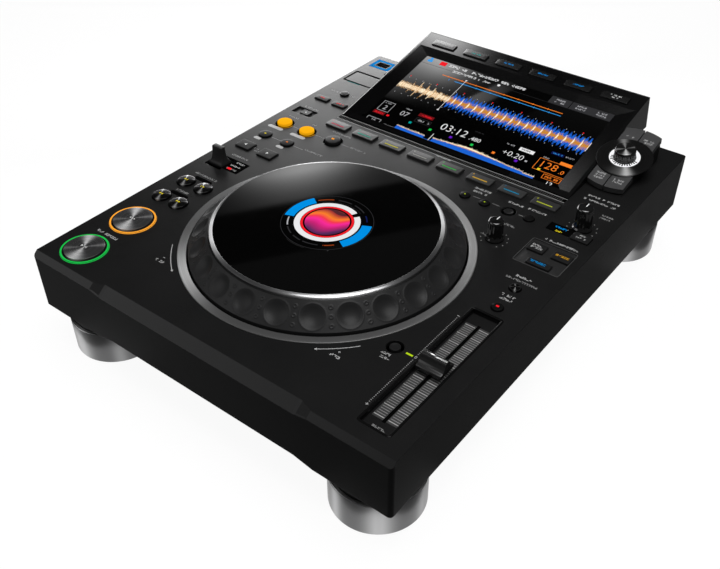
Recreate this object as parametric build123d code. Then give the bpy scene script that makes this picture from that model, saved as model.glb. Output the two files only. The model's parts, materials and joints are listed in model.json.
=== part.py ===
from build123d import *

import os
from math import atan, cos, sin, tan

# Tabletop media player for disc jockeys: a low box on four round feet, with a large jog wheel, a tilted
# display across its rear, a tempo fader on the right and keys all round.
# Frame: millimetres, x to the right, y to the rear, z up from the bottoms of the feet, and the origin
# under the middle of the outline.

# ---- Outline, which follows from the jog ring and the room round it ----
jog_ring_outer_r = 111.0
key_column_width = 53.5  # beside the jog ring, on both sides
ring_to_front = 30.6
ring_to_rear = 172.6
housing_overhang = 27.8  # how far the display housing reaches behind the body
body_width = 2 * (jog_ring_outer_r + key_column_width)
body_depth = ring_to_front + 2 * jog_ring_outer_r + ring_to_rear
overall_depth = body_depth + housing_overhang
left_x = -body_width / 2
right_x = body_width / 2
front_y = -overall_depth / 2
rear_y = front_y + body_depth
middle_y = (front_y + rear_y) / 2
jog_y = front_y + ring_to_front + jog_ring_outer_r
ring_rear_y = jog_y + jog_ring_outer_r


def placed(edge_x, edge_y, table):
    """A table of places, from one of distances to a side of the body and to edge_y."""
    return {name: (edge_x + place[0], edge_y + place[1], *place[2:]) for name, place in table.items()}


# ---- Body ----
deck_z = 86.6  # top face of the body
body_bottom_z = 38.2
body_corner_r = 3.0
side_wall = 3.0
front_wall = 9.0  # thick enough for the deep bevel
deck_skin = 3.0
bevel_depth = 4.8
bevel_height = 3.8
middle_bevel_depth = 8.5
middle_bevel_height = 6.2
middle_bevel_half = 89.0
bevel_run_out = 12.0
front_lift = 3.2  # how far the lower front edge is raised in the middle
front_lift_half = 87.0
front_lift_run_out = 16.0
base_plate = 2.0
skin_under_z = deck_z - deck_skin

# ---- Feet ----
foot_r = 33.3
foot_neck = 9.2  # bare height between the sleeve and the body
foot_sleeve_z = body_bottom_z - foot_neck
foot_sleeve_wall = 2.7
foot_sleeve_floor = 3.0
foot_core_wall = 3.0
foot_from_side = 35.4
foot_from_front = 34.3
foot_from_rear = 33.1
foot_x = right_x - foot_from_side

# ---- Clearances ----
gap = 0.3  # between a moving piece and what it passes
seat = 0.3  # between a resting piece and its seat
running_fit = 0.05  # radial, shaft in bearing

# ---- Jog wheel ----
jog_x = 1.0
jog_ring_width = 6.6
jog_ring_inner_r = jog_ring_outer_r - jog_ring_width
jog_ring_rise = 1.0
jog_ring_sunk = 1.5
jog_ring_lap = 1.2  # how far the ring reaches over the well
well_r = jog_ring_inner_r + jog_ring_lap
well_wall = 2.5
well_depth = 20.6
well_floor_z = deck_z - well_depth
jog_gap = 1.4  # between the ring and the wheel
jog_outer_r = jog_ring_inner_r - jog_gap
jog_skirt_gap = 6.0  # under the wheel
jog_skirt_z = well_floor_z + jog_skirt_gap
jog_slope_low = 2.4  # the slope starts this high over the deck
jog_slope_rise = 14.1
jog_slope_run = 15.7
jog_slope_low_z = deck_z + jog_slope_low
jog_slope_top_z = jog_slope_low_z + jog_slope_rise
jog_slope_top_r = jog_outer_r - jog_slope_run
jog_rim_wall = 4.3  # between the top of the slope and the hollow inside the wheel
jog_web_drop = 5.1
jog_web_z = jog_slope_top_z - jog_web_drop
jog_plate_sunk = 1.3
jog_plate_side = 3.0
jog_plate_bevel_height = 0.9
jog_plate_bottom_z = jog_slope_top_z - jog_plate_sunk
jog_plate_edge_z = jog_plate_bottom_z + jog_plate_side
jog_plate_top_z = jog_plate_edge_z + jog_plate_bevel_height
jog_plate_margin = 1.2  # the plate is this much smaller than the top of the slope
jog_plate_bevel = 2.9
dimple_count = 24
dimple_r = 8.2
dimple_depth = 1.8
jog_display_r = 35.0
jog_display_sunk = 0.2
jog_display_top_z = jog_plate_top_z - jog_display_sunk
spindle_r = 12.0
spindle_bore_r = 7.0
spindle_foot_r = 20.0
spindle_foot = 3.0
spindle_foot_z = well_floor_z + spindle_foot
jog_hub_r = 17.0

# ---- Display housing, whose face is tilted ----
housing_to_side = 48.9
housing_to_ring = 49.9
housing_front_rise = 0.3
housing_lean = 20.82  # from the rear of the body to the top edge
housing_rise = 31.4
housing_drop = 0.8  # how far its rear foot hangs below the deck
housing_wall = 3.0
housing_half = right_x - housing_to_side
housing_front_y = ring_rear_y + housing_to_ring
housing_top_y = rear_y + housing_lean
housing_top_z = deck_z + housing_rise
housing_bottom_z = deck_z - housing_drop
face_z = deck_z + housing_front_rise  # where the tilted face starts
tilt = atan((housing_top_z - face_z) / (housing_top_y - housing_front_y))
face_length = (housing_top_y - housing_front_y) / cos(tilt)
face_plate = 5.5  # thickness of the bezel under the tilted face
bezel_margin = 3.0
bezel_slope = 13.7
bezel_half = housing_half - bezel_margin
bezel_front = 7.6  # distances along the face from its front edge
bezel_to_rear = 22.74
bezel_rear = face_length - bezel_to_rear
bezel_front_slope = 1.5
bezel_rear_slope = 8.9
screen_half = bezel_half - bezel_slope
screen_front = bezel_front + bezel_front_slope
screen_rear = bezel_rear - bezel_rear_slope
screen_depth = 3.5
screen_thick = 3.0
screen_lap = 2.6
passage_room = 2.0  # round the screen's module where it hangs through the deck
menu_count = 6
menu_key_width = 25.0
menu_key_depth = 8.0
menu_margin = 13.1
menu_pitch = (2 * (housing_half - menu_margin) - menu_key_width) / (menu_count - 1)
menu_to_rear = 14.44
menu_key_along = face_length - menu_to_rear
menu_key_rise = 1.4

# ---- Keys ----
key_travel = 1.0
key_flange = 1.2
key_flange_lap = 1.0
key_stem = 4.0
key_edge = 0.4
dome_edge = 0.55  # share of a domed cap's rise at which its side ends
dome_flat = 0.72  # share of its radius that is flat on top
board_drop = 9.0
board_top_z = deck_z - board_drop
board_thick = 1.6
recess_step = 1.0  # how far a sunk collar lies below the deck

hot_cue_count = 8
hot_cue_gap = 7.6
hot_cue_depth = 10.5
hot_cue_x = 0.6
hot_cue_to_ring = 31.6
hot_cue_y = ring_rear_y + hot_cue_to_ring
hot_cue_rise = 2.0
hot_cue_margin = 48.7  # from the ends of the row to the sides of the body
hot_cue_pitch = (body_width - 2 * hot_cue_margin + hot_cue_gap) / hot_cue_count
hot_cue_width = hot_cue_pitch - hot_cue_gap

# ---- Fader and direction lever: their places ----
fader_from_side = 26.1
fader_from_front = 80.5
fader_x = right_x - fader_from_side
fader_y = front_y + fader_from_front
lever_from_side = 18.7
lever_from_front = 176.0
lever_x = left_x + lever_from_side
lever_y = front_y + lever_from_front

# ---- Keys in the two columns ----
# Each is placed from a side of the body and from the front, the jog wheel, the ring or the rear.
big_key_r = 15.5
big_key_rise = 2.6
light_ring_r = 18.0
light_ring_rise = 0.8
big_keys = placed(left_x, front_y, {"play_button": (27.8, 26.3), "cue_button": (27.6, 72.7)})

search_key_r = 7.5
search_key_rise = 2.6
search_keys = placed(
    left_x,
    front_y,
    {
        "search_back": (19.3, 109.7),
        "search_forward": (38.5, 109.7),
        "track_search_back": (19.3, 136.5),
        "track_search_forward": (38.9, 136.5),
    },
)

loop_cap_r = 6.75
loop_collar_r = 8.5
loop_rise = 2.8
loop_keys = placed(
    left_x, ring_rear_y, {"loop_in": (18.3, 6.3), "loop_out": (44.3, 6.3), "reloop": (73.5, 7.4)}
)

flat_key_rise = 1.6
jump_keys = placed(
    left_x,
    jog_y,
    {"beat_jump_back": (17.8, 66.9, 15.5, 12.0), "beat_jump_forward": (43.3, 66.6, 15.5, 12.0)},
)
flat_keys = placed(
    left_x,
    ring_rear_y,
    {"slip_button": (15.2, 63.4, 14.5, 7.5), "quantize_button": (36.0, 62.9, 14.5, 7.5)},
)
mode_key = placed(right_x, ring_rear_y, {"jog_mode": (-15.7, 7.9, 14.5, 10.0)})
mode_window = placed(right_x, ring_rear_y, {"window": (-34.3, 9.8, 20.5, 11.0)})["window"]
mode_window_depth = 0.5

beat_loop_r = 5.75
beat_loop_rise = 1.6
beat_loop_shift = -0.7  # from half way between the beat jump and the loop keys
beat_loop_y = (jump_keys["beat_jump_back"][1] + loop_keys["loop_in"][1]) / 2
beat_loop_keys = placed(
    left_x,
    beat_loop_y,
    {"beat_loop_4": (18.3, beat_loop_shift), "beat_loop_8": (43.8, beat_loop_shift)},
)

sync_keys = placed(
    right_x,
    ring_rear_y,
    {
        "beat_sync": (-36.2, -22.5, 13.6, 10.5),
        "master_button": (-15.7, -22.6, 14.6, 10.0),
        "key_sync": (-25.6, -39.4, 19.2, 6.9),
    },
)
sync_panel = placed(right_x, ring_rear_y, {"panel": (-26.5, -27.8, 36.8, 32.5)})["panel"]
sync_panel_depth = 0.6

small_key_r = 4.1
small_key_rise = 1.6
small_keys = placed(
    right_x,
    ring_rear_y,
    {"call_back": (-117.3, 5.2), "call_forward": (-98.8, 4.8), "memory_button": (-60.2, 7.3)},
) | placed(right_x, fader_y, {"master_tempo": (-24.6, 73.5)})
tempo_range_shift = -2.0  # from half way between the master tempo key and the sync panel
tempo_range_y = (small_keys["master_tempo"][1] + sync_panel[1] - sync_panel[3] / 2) / 2
fixed_keys = (
    placed(left_x, ring_rear_y, {"time_mode": (25.9, 83.1)})
    | placed(left_x, rear_y, {"usb_stop": (33.3, -29.4)})
    | placed(right_x, tempo_range_y, {"tempo_range": (-25.4, tempo_range_shift)})
)

collared_cap_r = 3.8
collared_collar_r = 5.8
collared_keys = placed(right_x, ring_rear_y, {"delete_button": (-77.8, 6.9)}) | placed(
    right_x, front_y, {"tempo_reset": (-56.8, 80.4)}
)

# ---- Rotary knobs on the deck: place, radius, height ----
deck_knobs = placed(
    right_x,
    ring_rear_y,
    {"jog_adjust_knob": (-68.0, -30.9, 6.3, 17.0), "speed_adjust_knob": (-21.8, 20.9, 6.75, 19.5)},
)
knob_stem_r = 3.0
knob_skirt_height = 3.0
knob_skirt_lap = 1.2
knob_taper = 0.9  # top radius over foot radius

# ---- Selector, on a pedestal beside the display ----
selector_half = 15.6
selector_gap = 0.9  # beside the display housing
selector_to_rear = 59.4
selector_x = housing_half + selector_gap + selector_half
selector_y = rear_y - selector_to_rear
selector_disc_r = 22.7
selector_disc_rise = 1.5
selector_disc_thick = 1.2
selector_knob_skirt_r = 9.1
selector_knob_r = 8.0
selector_knob_height = 13.0
selector_skirt_height = 2.0
selector_reach_front = 33.4
selector_reach_rear = 35.4
selector_front_y = selector_y - selector_reach_front
selector_rear_y = selector_y + selector_reach_rear
selector_bulge = 3.3
selector_arch_middle = 0.72  # share of the bulge that is left half way along the arch
selector_split = 1.0
selector_key_thick = 5.0
selector_keys = {"back_key": (-1, 1), "tag_key": (1, 1), "filter_key": (-1, -1), "shortcut_key": (1, -1)}

# ---- Tempo fader ----
fader_recess = (22.0, 126.6)
fader_recess_depth = 4.0
fader_floor = 2.0
fader_slot = (2.4, 108.0)
fader_cap = (19.0, 16.0)
fader_cap_rise = 9.4
fader_cap_top_z = deck_z + fader_cap_rise
fader_shoulder = 0.45  # share of the cap's height at which it narrows
fader_waist = 5.0
fader_flare = 1.0
fader_stem = (1.6, 5.0)
fader_body = (9.0, 124.0)

# ---- Direction lever ----
lever_slot = (18.0, 20.0)
lever_base = (12.5, 8.0)
lever_tip = (11.0, 4.7)
lever_height = 15.0
lever_pivot_depth = 12.6
lever_pivot_z = deck_z - lever_pivot_depth
lever_barrel_r = 3.5
lever_web = 4.9
lever_pin_r = 2.0
lever_ear = 3.0

# ---- Card door and lock switch recess ----
door_from_side = 22.5
door_from_rear = 52.9
door_x = left_x + door_from_side
door_y = rear_y - door_from_rear
door_size = (34.0, 19.6)
door_thick = 2.0
card_slot = (24.6, 2.6)
lock_recess = placed(left_x, ring_rear_y, {"recess": (18.2, 33.9, 22.5, 11.7)})["recess"]
lock_recess_depth = 1.8
lock_knob = (9.0, 7.0)
lock_knob_shift = 1.5

# ---- Sockets ----
usb_from_side = 16.9
usb_from_rear = 16.1
usb_x = left_x + usb_from_side
usb_y = rear_y - usb_from_rear
usb_frame = (15.9, 11.1)
usb_frame_depth = 2.0
usb_mouth = (12.7, 5.3)
usb_depth = 12.0
usb_wall = 1.0
socket_drop = 23.6
socket_z = deck_z - socket_drop
socket_flange = 1.5
inlet_from_side = 44.5
switch_from_side = 80.5
network_from_side = 94.5
usb_rear_from_side = 120.5
audio_from_side = 58.5
inlet = (right_x - inlet_from_side, 28.0, 20.0, 18.0)  # x, width, height, depth behind the rear wall
inlet_mouth = (24.2, 16.4, 15.0)
power_switch = (right_x - switch_from_side, 19.0, 13.0, 16.0)
rocker_share = 1 / 3  # of the switch's width and height, on each side of its middle
rocker_rise = 2.5
network = (left_x + network_from_side, 16.0, 13.6, 18.0)
network_mouth = (11.8, 8.4, 13.0)
usb_rear = (left_x + usb_rear_from_side, 12.4, 11.4, 15.0)
usb_rear_mouth = (8.6, 7.8, 10.0)
audio_pitch = 18.0
audio_count = 3
audio_x = left_x + audio_from_side
audio_r = 4.2
audio_nut_r = 5.6
audio_nut_rise = 1.6  # outside the rear wall
audio_length = 9.5
audio_body = (13.0, 13.0, 12.0)

# ---- Boards and power supply ----
board_inset = 3.5
board_room = 1.0  # between a board and what passes it
side_board_width = 47.0
side_board_gap = 7.0  # between a side board and the board of the hot cue keys
cue_board_width = body_width - 2 * (side_wall + board_room / 2 + side_board_width + side_board_gap)
cue_board_depth = 42.0
cue_board_shift = -11.0
cue_post_to_call = 17.2  # from the call key to the posts that carry the hot cue board
cue_post_x = small_keys["call_back"][0] - cue_post_to_call
rail_sink = 0.5  # how far the rails that carry the side boards reach into the side walls
main_board = (160.0, 150.0)
main_board_height = 13.8
main_board_z = body_bottom_z + main_board_height
post_side = 6.0
supply = (100.0, 70.0, 30.0)
supply_from_side = 74.5
supply_from_rear = 78.7
supply_x = right_x - supply_from_side
supply_y = rear_y - supply_from_rear

# ---- The tilted face, and the same slope under the selector ----
face = Plane(origin=(0, housing_front_y, face_z), x_dir=(1, 0, 0), z_dir=(0, -sin(tilt), cos(tilt)))
selector_z = face_z + (selector_y - housing_front_y) * tan(tilt)
selector_plane = Plane(
    origin=(selector_x, selector_y, selector_z), x_dir=(1, 0, 0), z_dir=(0, -sin(tilt), cos(tilt))
)
tall = 4 * deck_z  # longer than anything that is cut with it

pieces = {}


def block(x, y, low_z, size_x, size_y, high_z):
    """A box standing from low_z to high_z, centred at x, y."""
    height = high_z - low_z
    return Pos(x, y, low_z + height / 2) * Box(size_x, size_y, height)


def post(x, y, low_z, high_z, radius):
    height = high_z - low_z
    return Pos(x, y, low_z + height / 2) * Cylinder(radius, height)


def turned(x, y, outline):
    """A solid of revolution about the vertical line through x, y. The outline is (radius, z) points."""
    edge = Polyline(*[(r, 0, z) for r, z in outline], close=True)
    return Pos(x, y, 0) * revolve(make_face(edge), Axis.Z)


def side_section(points, low_x, high_x):
    """A prism along x whose section is (y, z) points."""
    plane = Plane(origin=(low_x, 0, 0), x_dir=(0, 1, 0), z_dir=(1, 0, 0))
    return extrude(plane * make_face(Polyline(*points, close=True)), high_x - low_x)


# ---- Top cover ----
def bevel_section(x, depth, height):
    plane = Plane(origin=(x, 0, 0), x_dir=(0, 1, 0), z_dir=(1, 0, 0))
    over = 1.0
    slope = height / depth
    points = [
        (front_y - over, deck_z - height - over * slope),
        (front_y + depth + over, deck_z + over * slope),
        (front_y - over, deck_z + over * slope),
    ]
    return plane * make_face(Polyline(*points, close=True))


def front_bevel():
    outer = middle_bevel_half + bevel_run_out
    stations = [
        (-outer, bevel_depth, bevel_height),
        (-middle_bevel_half, middle_bevel_depth, middle_bevel_height),
        (middle_bevel_half, middle_bevel_depth, middle_bevel_height),
        (outer, bevel_depth, bevel_height),
    ]
    cut = extrude(bevel_section(-body_width, bevel_depth, bevel_height), 2 * body_width)
    for near, far in zip(stations, stations[1:]):
        cut += loft([bevel_section(*near), bevel_section(*far)], ruled=True)
    return cut


def lower_front_lift():
    outer = front_lift_half + front_lift_run_out
    points = [
        (-outer, body_bottom_z - 1),
        (-outer, body_bottom_z),
        (-front_lift_half, body_bottom_z + front_lift),
        (front_lift_half, body_bottom_z + front_lift),
        (outer, body_bottom_z),
        (outer, body_bottom_z - 1),
    ]
    outline = Plane(origin=(0, front_y - 1, 0), x_dir=(1, 0, 0), z_dir=(0, -1, 0)) * make_face(
        Polyline(*points, close=True)
    )
    return extrude(outline, -(front_wall + 1))


def cover_shell():
    shell = Pos(0, middle_y, body_bottom_z) * extrude(
        RectangleRounded(body_width, body_depth, body_corner_r), deck_z - body_bottom_z
    )
    inside_depth = body_depth - front_wall - side_wall
    shell -= block(
        0,
        front_y + front_wall + inside_depth / 2,
        body_bottom_z - 1,
        body_width - 2 * side_wall,
        inside_depth,
        skin_under_z,
    )
    return shell - front_bevel() - lower_front_lift()


def cover_additions():
    """Everything that stands on, or hangs from, the deck skin."""
    ledge = board_inset + side_wall
    added = [
        post(jog_x, jog_y, well_floor_z - well_wall, skin_under_z, well_r + well_wall),
        block(
            fader_x,
            fader_y,
            deck_z - fader_recess_depth - fader_floor,
            fader_recess[0] + 2 * fader_floor,
            fader_recess[1] + 2 * fader_floor,
            skin_under_z,
        ),
        block(
            door_x,
            door_y,
            skin_under_z - door_thick,
            door_size[0] + 2 * fader_floor,
            door_size[1] + 2 * fader_floor,
            skin_under_z,
        ),
    ]
    rail_length = body_depth - ledge - front_wall
    post_y = hot_cue_y + 2 * cue_board_shift
    for side in (-1, 1):
        rail_x = side * (right_x - side_wall - board_inset / 2 + rail_sink)
        added.append(
            block(rail_x, middle_y, board_top_z, board_inset + 2 * rail_sink, rail_length, skin_under_z)
        )
        added.append(block(side * cue_post_x, post_y, board_top_z, post_side, post_side, skin_under_z))
        ear_x = lever_x + side * (lever_slot[0] / 2 + lever_ear / 2)
        added.append(
            block(ear_x, lever_y, lever_pivot_z - 2 * lever_pin_r, lever_ear, 4 * lever_pin_r, skin_under_z)
        )
    for x, y in big_keys.values():
        added.append(post(x, y, skin_under_z, deck_z + light_ring_rise, light_ring_r))
    for x, y in fixed_keys.values():
        added.append(post(x, y, skin_under_z, deck_z + small_key_rise, small_key_r))
    return added


def selector_pedestal():
    """Stands on the deck, with the four selector keys over it and the disc on its core."""
    core = Cylinder(selector_disc_r, selector_key_thick * 4)
    core &= Box(2 * selector_half, 2 * selector_disc_r, selector_key_thick * 4)
    key_room = selector_key_thick + key_travel + seat
    stand = Pos(0, 0, -tall / 2 - key_room) * Box(2 * selector_half, tall, tall)
    top_limit = selector_disc_rise - selector_disc_thick - selector_key_thick * 2
    stand += Pos(0, 0, top_limit) * core
    stand = selector_plane * stand
    footprint = block(
        selector_x,
        (selector_front_y + selector_rear_y) / 2,
        deck_z - 1,
        2 * selector_half,
        selector_rear_y - selector_front_y,
        tall,
    )
    disc_z = selector_disc_rise - selector_disc_thick / 2
    disc = selector_plane * Pos(0, 0, disc_z) * Cylinder(selector_disc_r, selector_disc_thick)
    return (stand & footprint) + disc


def cover_cuts():
    """Recesses and through holes in the deck."""
    door_bed_z = deck_z - door_thick - seat
    cuts = [
        post(jog_x, jog_y, well_floor_z, tall, well_r),
        post(jog_x, jog_y, deck_z - jog_ring_sunk, tall, jog_ring_outer_r + gap),
        block(fader_x, fader_y, deck_z - fader_recess_depth, fader_recess[0], fader_recess[1], tall),
        block(fader_x, fader_y, board_top_z, fader_slot[0], fader_slot[1], tall),
        block(lever_x, lever_y, board_top_z, lever_slot[0], lever_slot[1], tall),
        block(door_x, door_y, door_bed_z, door_size[0] + 2 * gap, door_size[1] + 2 * gap, tall),
        block(door_x, door_y, board_top_z, card_slot[0], card_slot[1], tall),
        block(usb_x, usb_y, board_top_z, usb_frame[0], usb_frame[1], tall),
        sunk_panel(sync_panel, sync_panel_depth),
        sunk_panel(mode_window, mode_window_depth),
        display_passage(),
        Pos(lever_x, lever_y, lever_pivot_z)
        * Rot(0, 90, 0)
        * Cylinder(lever_pin_r + running_fit, 2 * lever_slot[0]),
    ]
    for x, y in big_keys.values():
        cuts.append(post(x, y, board_top_z, tall, big_key_r + gap))
    for group, radius in (
        (search_keys, search_key_r),
        (beat_loop_keys, beat_loop_r),
        (loop_keys, loop_collar_r),
        (small_keys, small_key_r),
        (collared_keys, collared_collar_r),
    ):
        for x, y in group.values():
            cuts.append(post(x, y, board_top_z, tall, radius + gap))
    for x, y, width, depth in all_flat_keys().values():
        cuts.append(block(x, y, board_top_z, width + 2 * gap, depth + 2 * gap, tall))
    for x in hot_cue_places():
        cuts.append(
            block(x, hot_cue_y, board_top_z, hot_cue_width + 2 * gap, hot_cue_depth + 2 * gap, tall)
        )
    for x, y, radius, height in deck_knobs.values():
        cuts.append(post(x, y, board_top_z, tall, knob_stem_r + gap))
    return cuts


def sunk_panel(place, depth):
    x, y, width, length = place
    return block(x, y, deck_z - depth, width, length, tall)


def display_passage():
    """The opening under the display housing that its screen module hangs through."""
    width = 2 * (screen_half + screen_lap + passage_room)
    low_y = housing_front_y + screen_front / 2
    high_y = housing_front_y + screen_rear * cos(tilt) + passage_room
    return block(0, (low_y + high_y) / 2, board_top_z, width, high_y - low_y, deck_z + 1)


def rear_cuts():
    """Openings in the rear wall for the sockets."""
    cuts = []
    for x, width, height, depth in (inlet, power_switch, network, usb_rear):
        cuts.append(Pos(x, rear_y, socket_z) * Box(width + 2 * seat, 4 * side_wall, height + 2 * seat))
    for x in audio_places():
        cuts.append(Pos(x, rear_y, socket_z) * Rot(90, 0, 0) * Cylinder(audio_nut_r + seat, 4 * side_wall))
    return cuts


def top_cover():
    cover = cover_shell() + cover_additions()
    cover -= cover_cuts() + rear_cuts()
    lock_x, lock_y, lock_width, lock_depth = lock_recess
    cover -= block(lock_x, lock_y, deck_z - lock_recess_depth, lock_width, lock_depth, tall)
    cover += block(
        lock_x + lock_knob_shift, lock_y, deck_z - lock_recess_depth, lock_knob[0], lock_knob[1], deck_z
    )
    pedestal = selector_pedestal() - selector_plane * Cylinder(knob_stem_r + gap, 8 * selector_disc_rise)
    return cover + pedestal


# ---- Base and feet ----
def foot_places():
    rows = (front_y + foot_from_front, rear_y - foot_from_rear)
    return [(side * foot_x, y) for side in (-1, 1) for y in rows]


def bottom_cover():
    depth = body_depth - front_wall - side_wall - 2 * seat
    centre_y = front_y + front_wall + seat + depth / 2
    width = body_width - 2 * side_wall - 2 * seat
    plate = block(0, centre_y, body_bottom_z, width, depth, body_bottom_z + base_plate)
    core_r = foot_r - foot_sleeve_wall - seat
    hollow = (core_r - foot_core_wall) * 2**0.5  # a square that leaves the wall at its corners
    for x, y in foot_places():
        core = post(x, y, foot_sleeve_floor + seat, body_bottom_z, core_r)
        plate += core - block(x, y, 0, hollow, hollow, body_bottom_z - base_plate)
    reach_x = main_board[0] / 2 - post_side
    reach_y = main_board[1] / 2 - post_side
    for side_x in (-1, 1):
        for side_y in (-1, 1):
            plate += block(
                main_board_x() + side_x * reach_x,
                main_board_y() + side_y * reach_y,
                body_bottom_z,
                post_side,
                post_side,
                main_board_z,
            )
    return plate


def foot_sleeves():
    sleeves = []
    for x, y in foot_places():
        cup = post(x, y, 0, foot_sleeve_z, foot_r)
        cup -= post(x, y, foot_sleeve_floor, foot_sleeve_z + 1, foot_r - foot_sleeve_wall)
        sleeves.append(cup)
    return Compound(children=sleeves)


# ---- Jog wheel ----
def jog_ring():
    """A flat ring let into the deck, whose bore covers the gap round the wheel."""
    low_z = deck_z - jog_ring_sunk
    ring = post(jog_x, jog_y, low_z, deck_z + jog_ring_rise, jog_ring_outer_r)
    return ring - post(jog_x, jog_y, 0, tall, jog_ring_inner_r)


def jog_wheel():
    """A ring with a conical, dimpled grip, a web and a hub."""
    bore = spindle_r + running_fit
    inner_r = jog_slope_top_r - jog_rim_wall
    wheel = turned(
        jog_x,
        jog_y,
        [
            (bore, spindle_foot_z + seat),
            (jog_hub_r, spindle_foot_z + seat),
            (jog_hub_r, jog_web_z),
            (inner_r, jog_web_z),
            (inner_r, jog_skirt_z),
            (jog_outer_r, jog_skirt_z),
            (jog_outer_r, jog_slope_low_z),
            (jog_slope_top_r, jog_slope_top_z),
            (jog_slope_top_r, jog_plate_bottom_z - seat),
            (bore, jog_plate_bottom_z - seat),
        ],
    )
    slope = (jog_slope_run**2 + jog_slope_rise**2) ** 0.5
    ball_r = (dimple_r**2 + dimple_depth**2) / (2 * dimple_depth)
    lift = ball_r - dimple_depth
    ball_x = (jog_outer_r + jog_slope_top_r) / 2 + lift * jog_slope_rise / slope
    ball_z = (jog_slope_low_z + jog_slope_top_z) / 2 + lift * jog_slope_run / slope
    step = 360 / dimple_count
    ball = Pos(ball_x, 0, 0) * Sphere(ball_r)
    turns = [Rot(0, 0, (number + 0.5) * step) for number in range(dimple_count)]
    return wheel - [Pos(jog_x, jog_y, ball_z) * turn * ball for turn in turns]


def jog_plate():
    """The glossy top plate with its bright bevelled rim."""
    rim_r = jog_slope_top_r - jog_plate_margin
    hole = jog_display_r + gap
    return turned(
        jog_x,
        jog_y,
        [
            (hole, jog_plate_bottom_z),
            (rim_r, jog_plate_bottom_z),
            (rim_r, jog_plate_edge_z),
            (rim_r - jog_plate_bevel, jog_plate_top_z),
            (hole, jog_plate_top_z),
        ],
    )


def jog_display():
    """The round display in the middle, which stands still on the hollow spindle."""
    return turned(
        jog_x,
        jog_y,
        [
            (spindle_bore_r, well_floor_z),
            (spindle_foot_r, well_floor_z),
            (spindle_foot_r, spindle_foot_z),
            (spindle_r, spindle_foot_z),
            (spindle_r, jog_plate_bottom_z),
            (jog_display_r, jog_plate_bottom_z),
            (jog_display_r, jog_display_top_z),
            (0, jog_display_top_z),
            (0, jog_plate_bottom_z),
            (spindle_bore_r, jog_plate_bottom_z),
        ],
    )


# ---- Display housing ----
def on_face(y_along, depth):
    """The (y, z) of a point on or under the tilted face, from its distance along the face."""
    spot = face.origin + face.y_dir * y_along - face.z_dir * depth
    return (spot.Y, spot.Z)


def face_block(half_width, low, high, depth, top=0.0):
    """A block in the face's own directions, from `top` above the face to `depth` below it."""
    centre = Pos(0, (low + high) / 2, (top - depth) / 2)
    return face * centre * Box(2 * half_width, high - low, top + depth)


def bezel_cut():
    """The sloping sides of the recess, from the bezel's edge down to the screen."""
    over = 0.2
    grow = over / screen_depth
    top = face * Pos(0, 0, over) * bezel_outline(
        bezel_half + (bezel_half - screen_half) * grow,
        bezel_front - (screen_front - bezel_front) * grow,
        bezel_rear + (bezel_rear - screen_rear) * grow,
    )
    low = face * Pos(0, 0, -screen_depth) * bezel_outline(screen_half, screen_front, screen_rear)
    return loft([low, top], ruled=True)


def bezel_outline(half_width, low, high):
    return Pos(0, (low + high) / 2, 0) * Rectangle(2 * half_width, high - low)


def display_housing():
    rear_drop = (housing_top_z - housing_bottom_z) / cos(tilt)
    foot_y = rear_y + seat
    outline = [
        (housing_front_y, deck_z),
        on_face(0, 0),
        on_face(face_length, 0),
        on_face(face_length, rear_drop),
        (foot_y, housing_bottom_z),
        (foot_y, deck_z),
    ]
    inner_start = bezel_front + 2 * face_plate
    inner_rear = face_length - housing_wall
    inside = [
        (on_face(inner_start, face_plate)[0], deck_z - 1),
        on_face(inner_start, face_plate),
        on_face(inner_rear, face_plate),
        on_face(inner_rear, rear_drop - housing_wall),
        (foot_y - housing_wall, housing_bottom_z + housing_wall),
        (foot_y - housing_wall, deck_z - 1),
    ]
    housing = side_section(outline, -housing_half, housing_half)
    housing -= side_section(inside, -housing_half + housing_wall, housing_half - housing_wall)
    housing -= bezel_cut()
    housing -= face_block(
        screen_half + screen_lap + seat,
        screen_front - screen_lap - seat,
        screen_rear + screen_lap + seat,
        face_plate * 2,
        -screen_depth,
    )
    for x in menu_places():
        housing -= face * Pos(x, menu_key_along, 0) * Box(
            menu_key_width + 2 * gap, menu_key_depth + 2 * gap, 3 * face_plate
        )
    return housing


def display_screen():
    return face_block(
        screen_half + screen_lap,
        screen_front - screen_lap,
        screen_rear + screen_lap,
        screen_depth + screen_thick,
        -screen_depth,
    )


def menu_places():
    return [(number - (menu_count - 1) / 2) * menu_pitch for number in range(menu_count)]


def menu_key(x):
    cap = face_cap(menu_key_width, menu_key_depth, menu_key_rise, face_plate)
    return face * Pos(x, menu_key_along, 0) * cap


def face_cap(width, depth, rise, under):
    """A key cap about the origin of its own plane, with a flange under a plate of thickness `under`."""
    height = rise + under + gap
    cap = Pos(0, 0, rise - height / 2) * Box(width, depth, height)
    cap = chamfer(cap.faces().sort_by(Axis.Z)[-1].edges(), key_edge)
    lap = 2 * (gap + key_flange_lap)
    return cap + Pos(0, 0, -under - gap - key_flange / 2) * Box(width + lap, depth + lap, key_flange)


# ---- Keys on the deck ----
def hot_cue_places():
    return [hot_cue_x + (number - (hot_cue_count - 1) / 2) * hot_cue_pitch for number in range(hot_cue_count)]


def key_foot(x, y, flange_width):
    """The square flange under the deck skin and the stem that stands over the switch."""
    flange_top = skin_under_z - gap
    low_z = board_top_z + key_travel + seat
    flange = block(x, y, flange_top - key_flange, flange_width, flange_width, flange_top)
    return flange + block(x, y, low_z, key_stem, key_stem, flange_top)


def all_flat_keys():
    return flat_keys | jump_keys | mode_key | sync_keys


def flat_key(x, y, width, depth, rise):
    """A rectangular cap whose flange is held under the deck skin, on a stem over its switch."""
    key = Pos(x, y, deck_z) * face_cap(width, depth, rise, deck_skin)
    return key + key_foot(x, y, key_stem)


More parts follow.
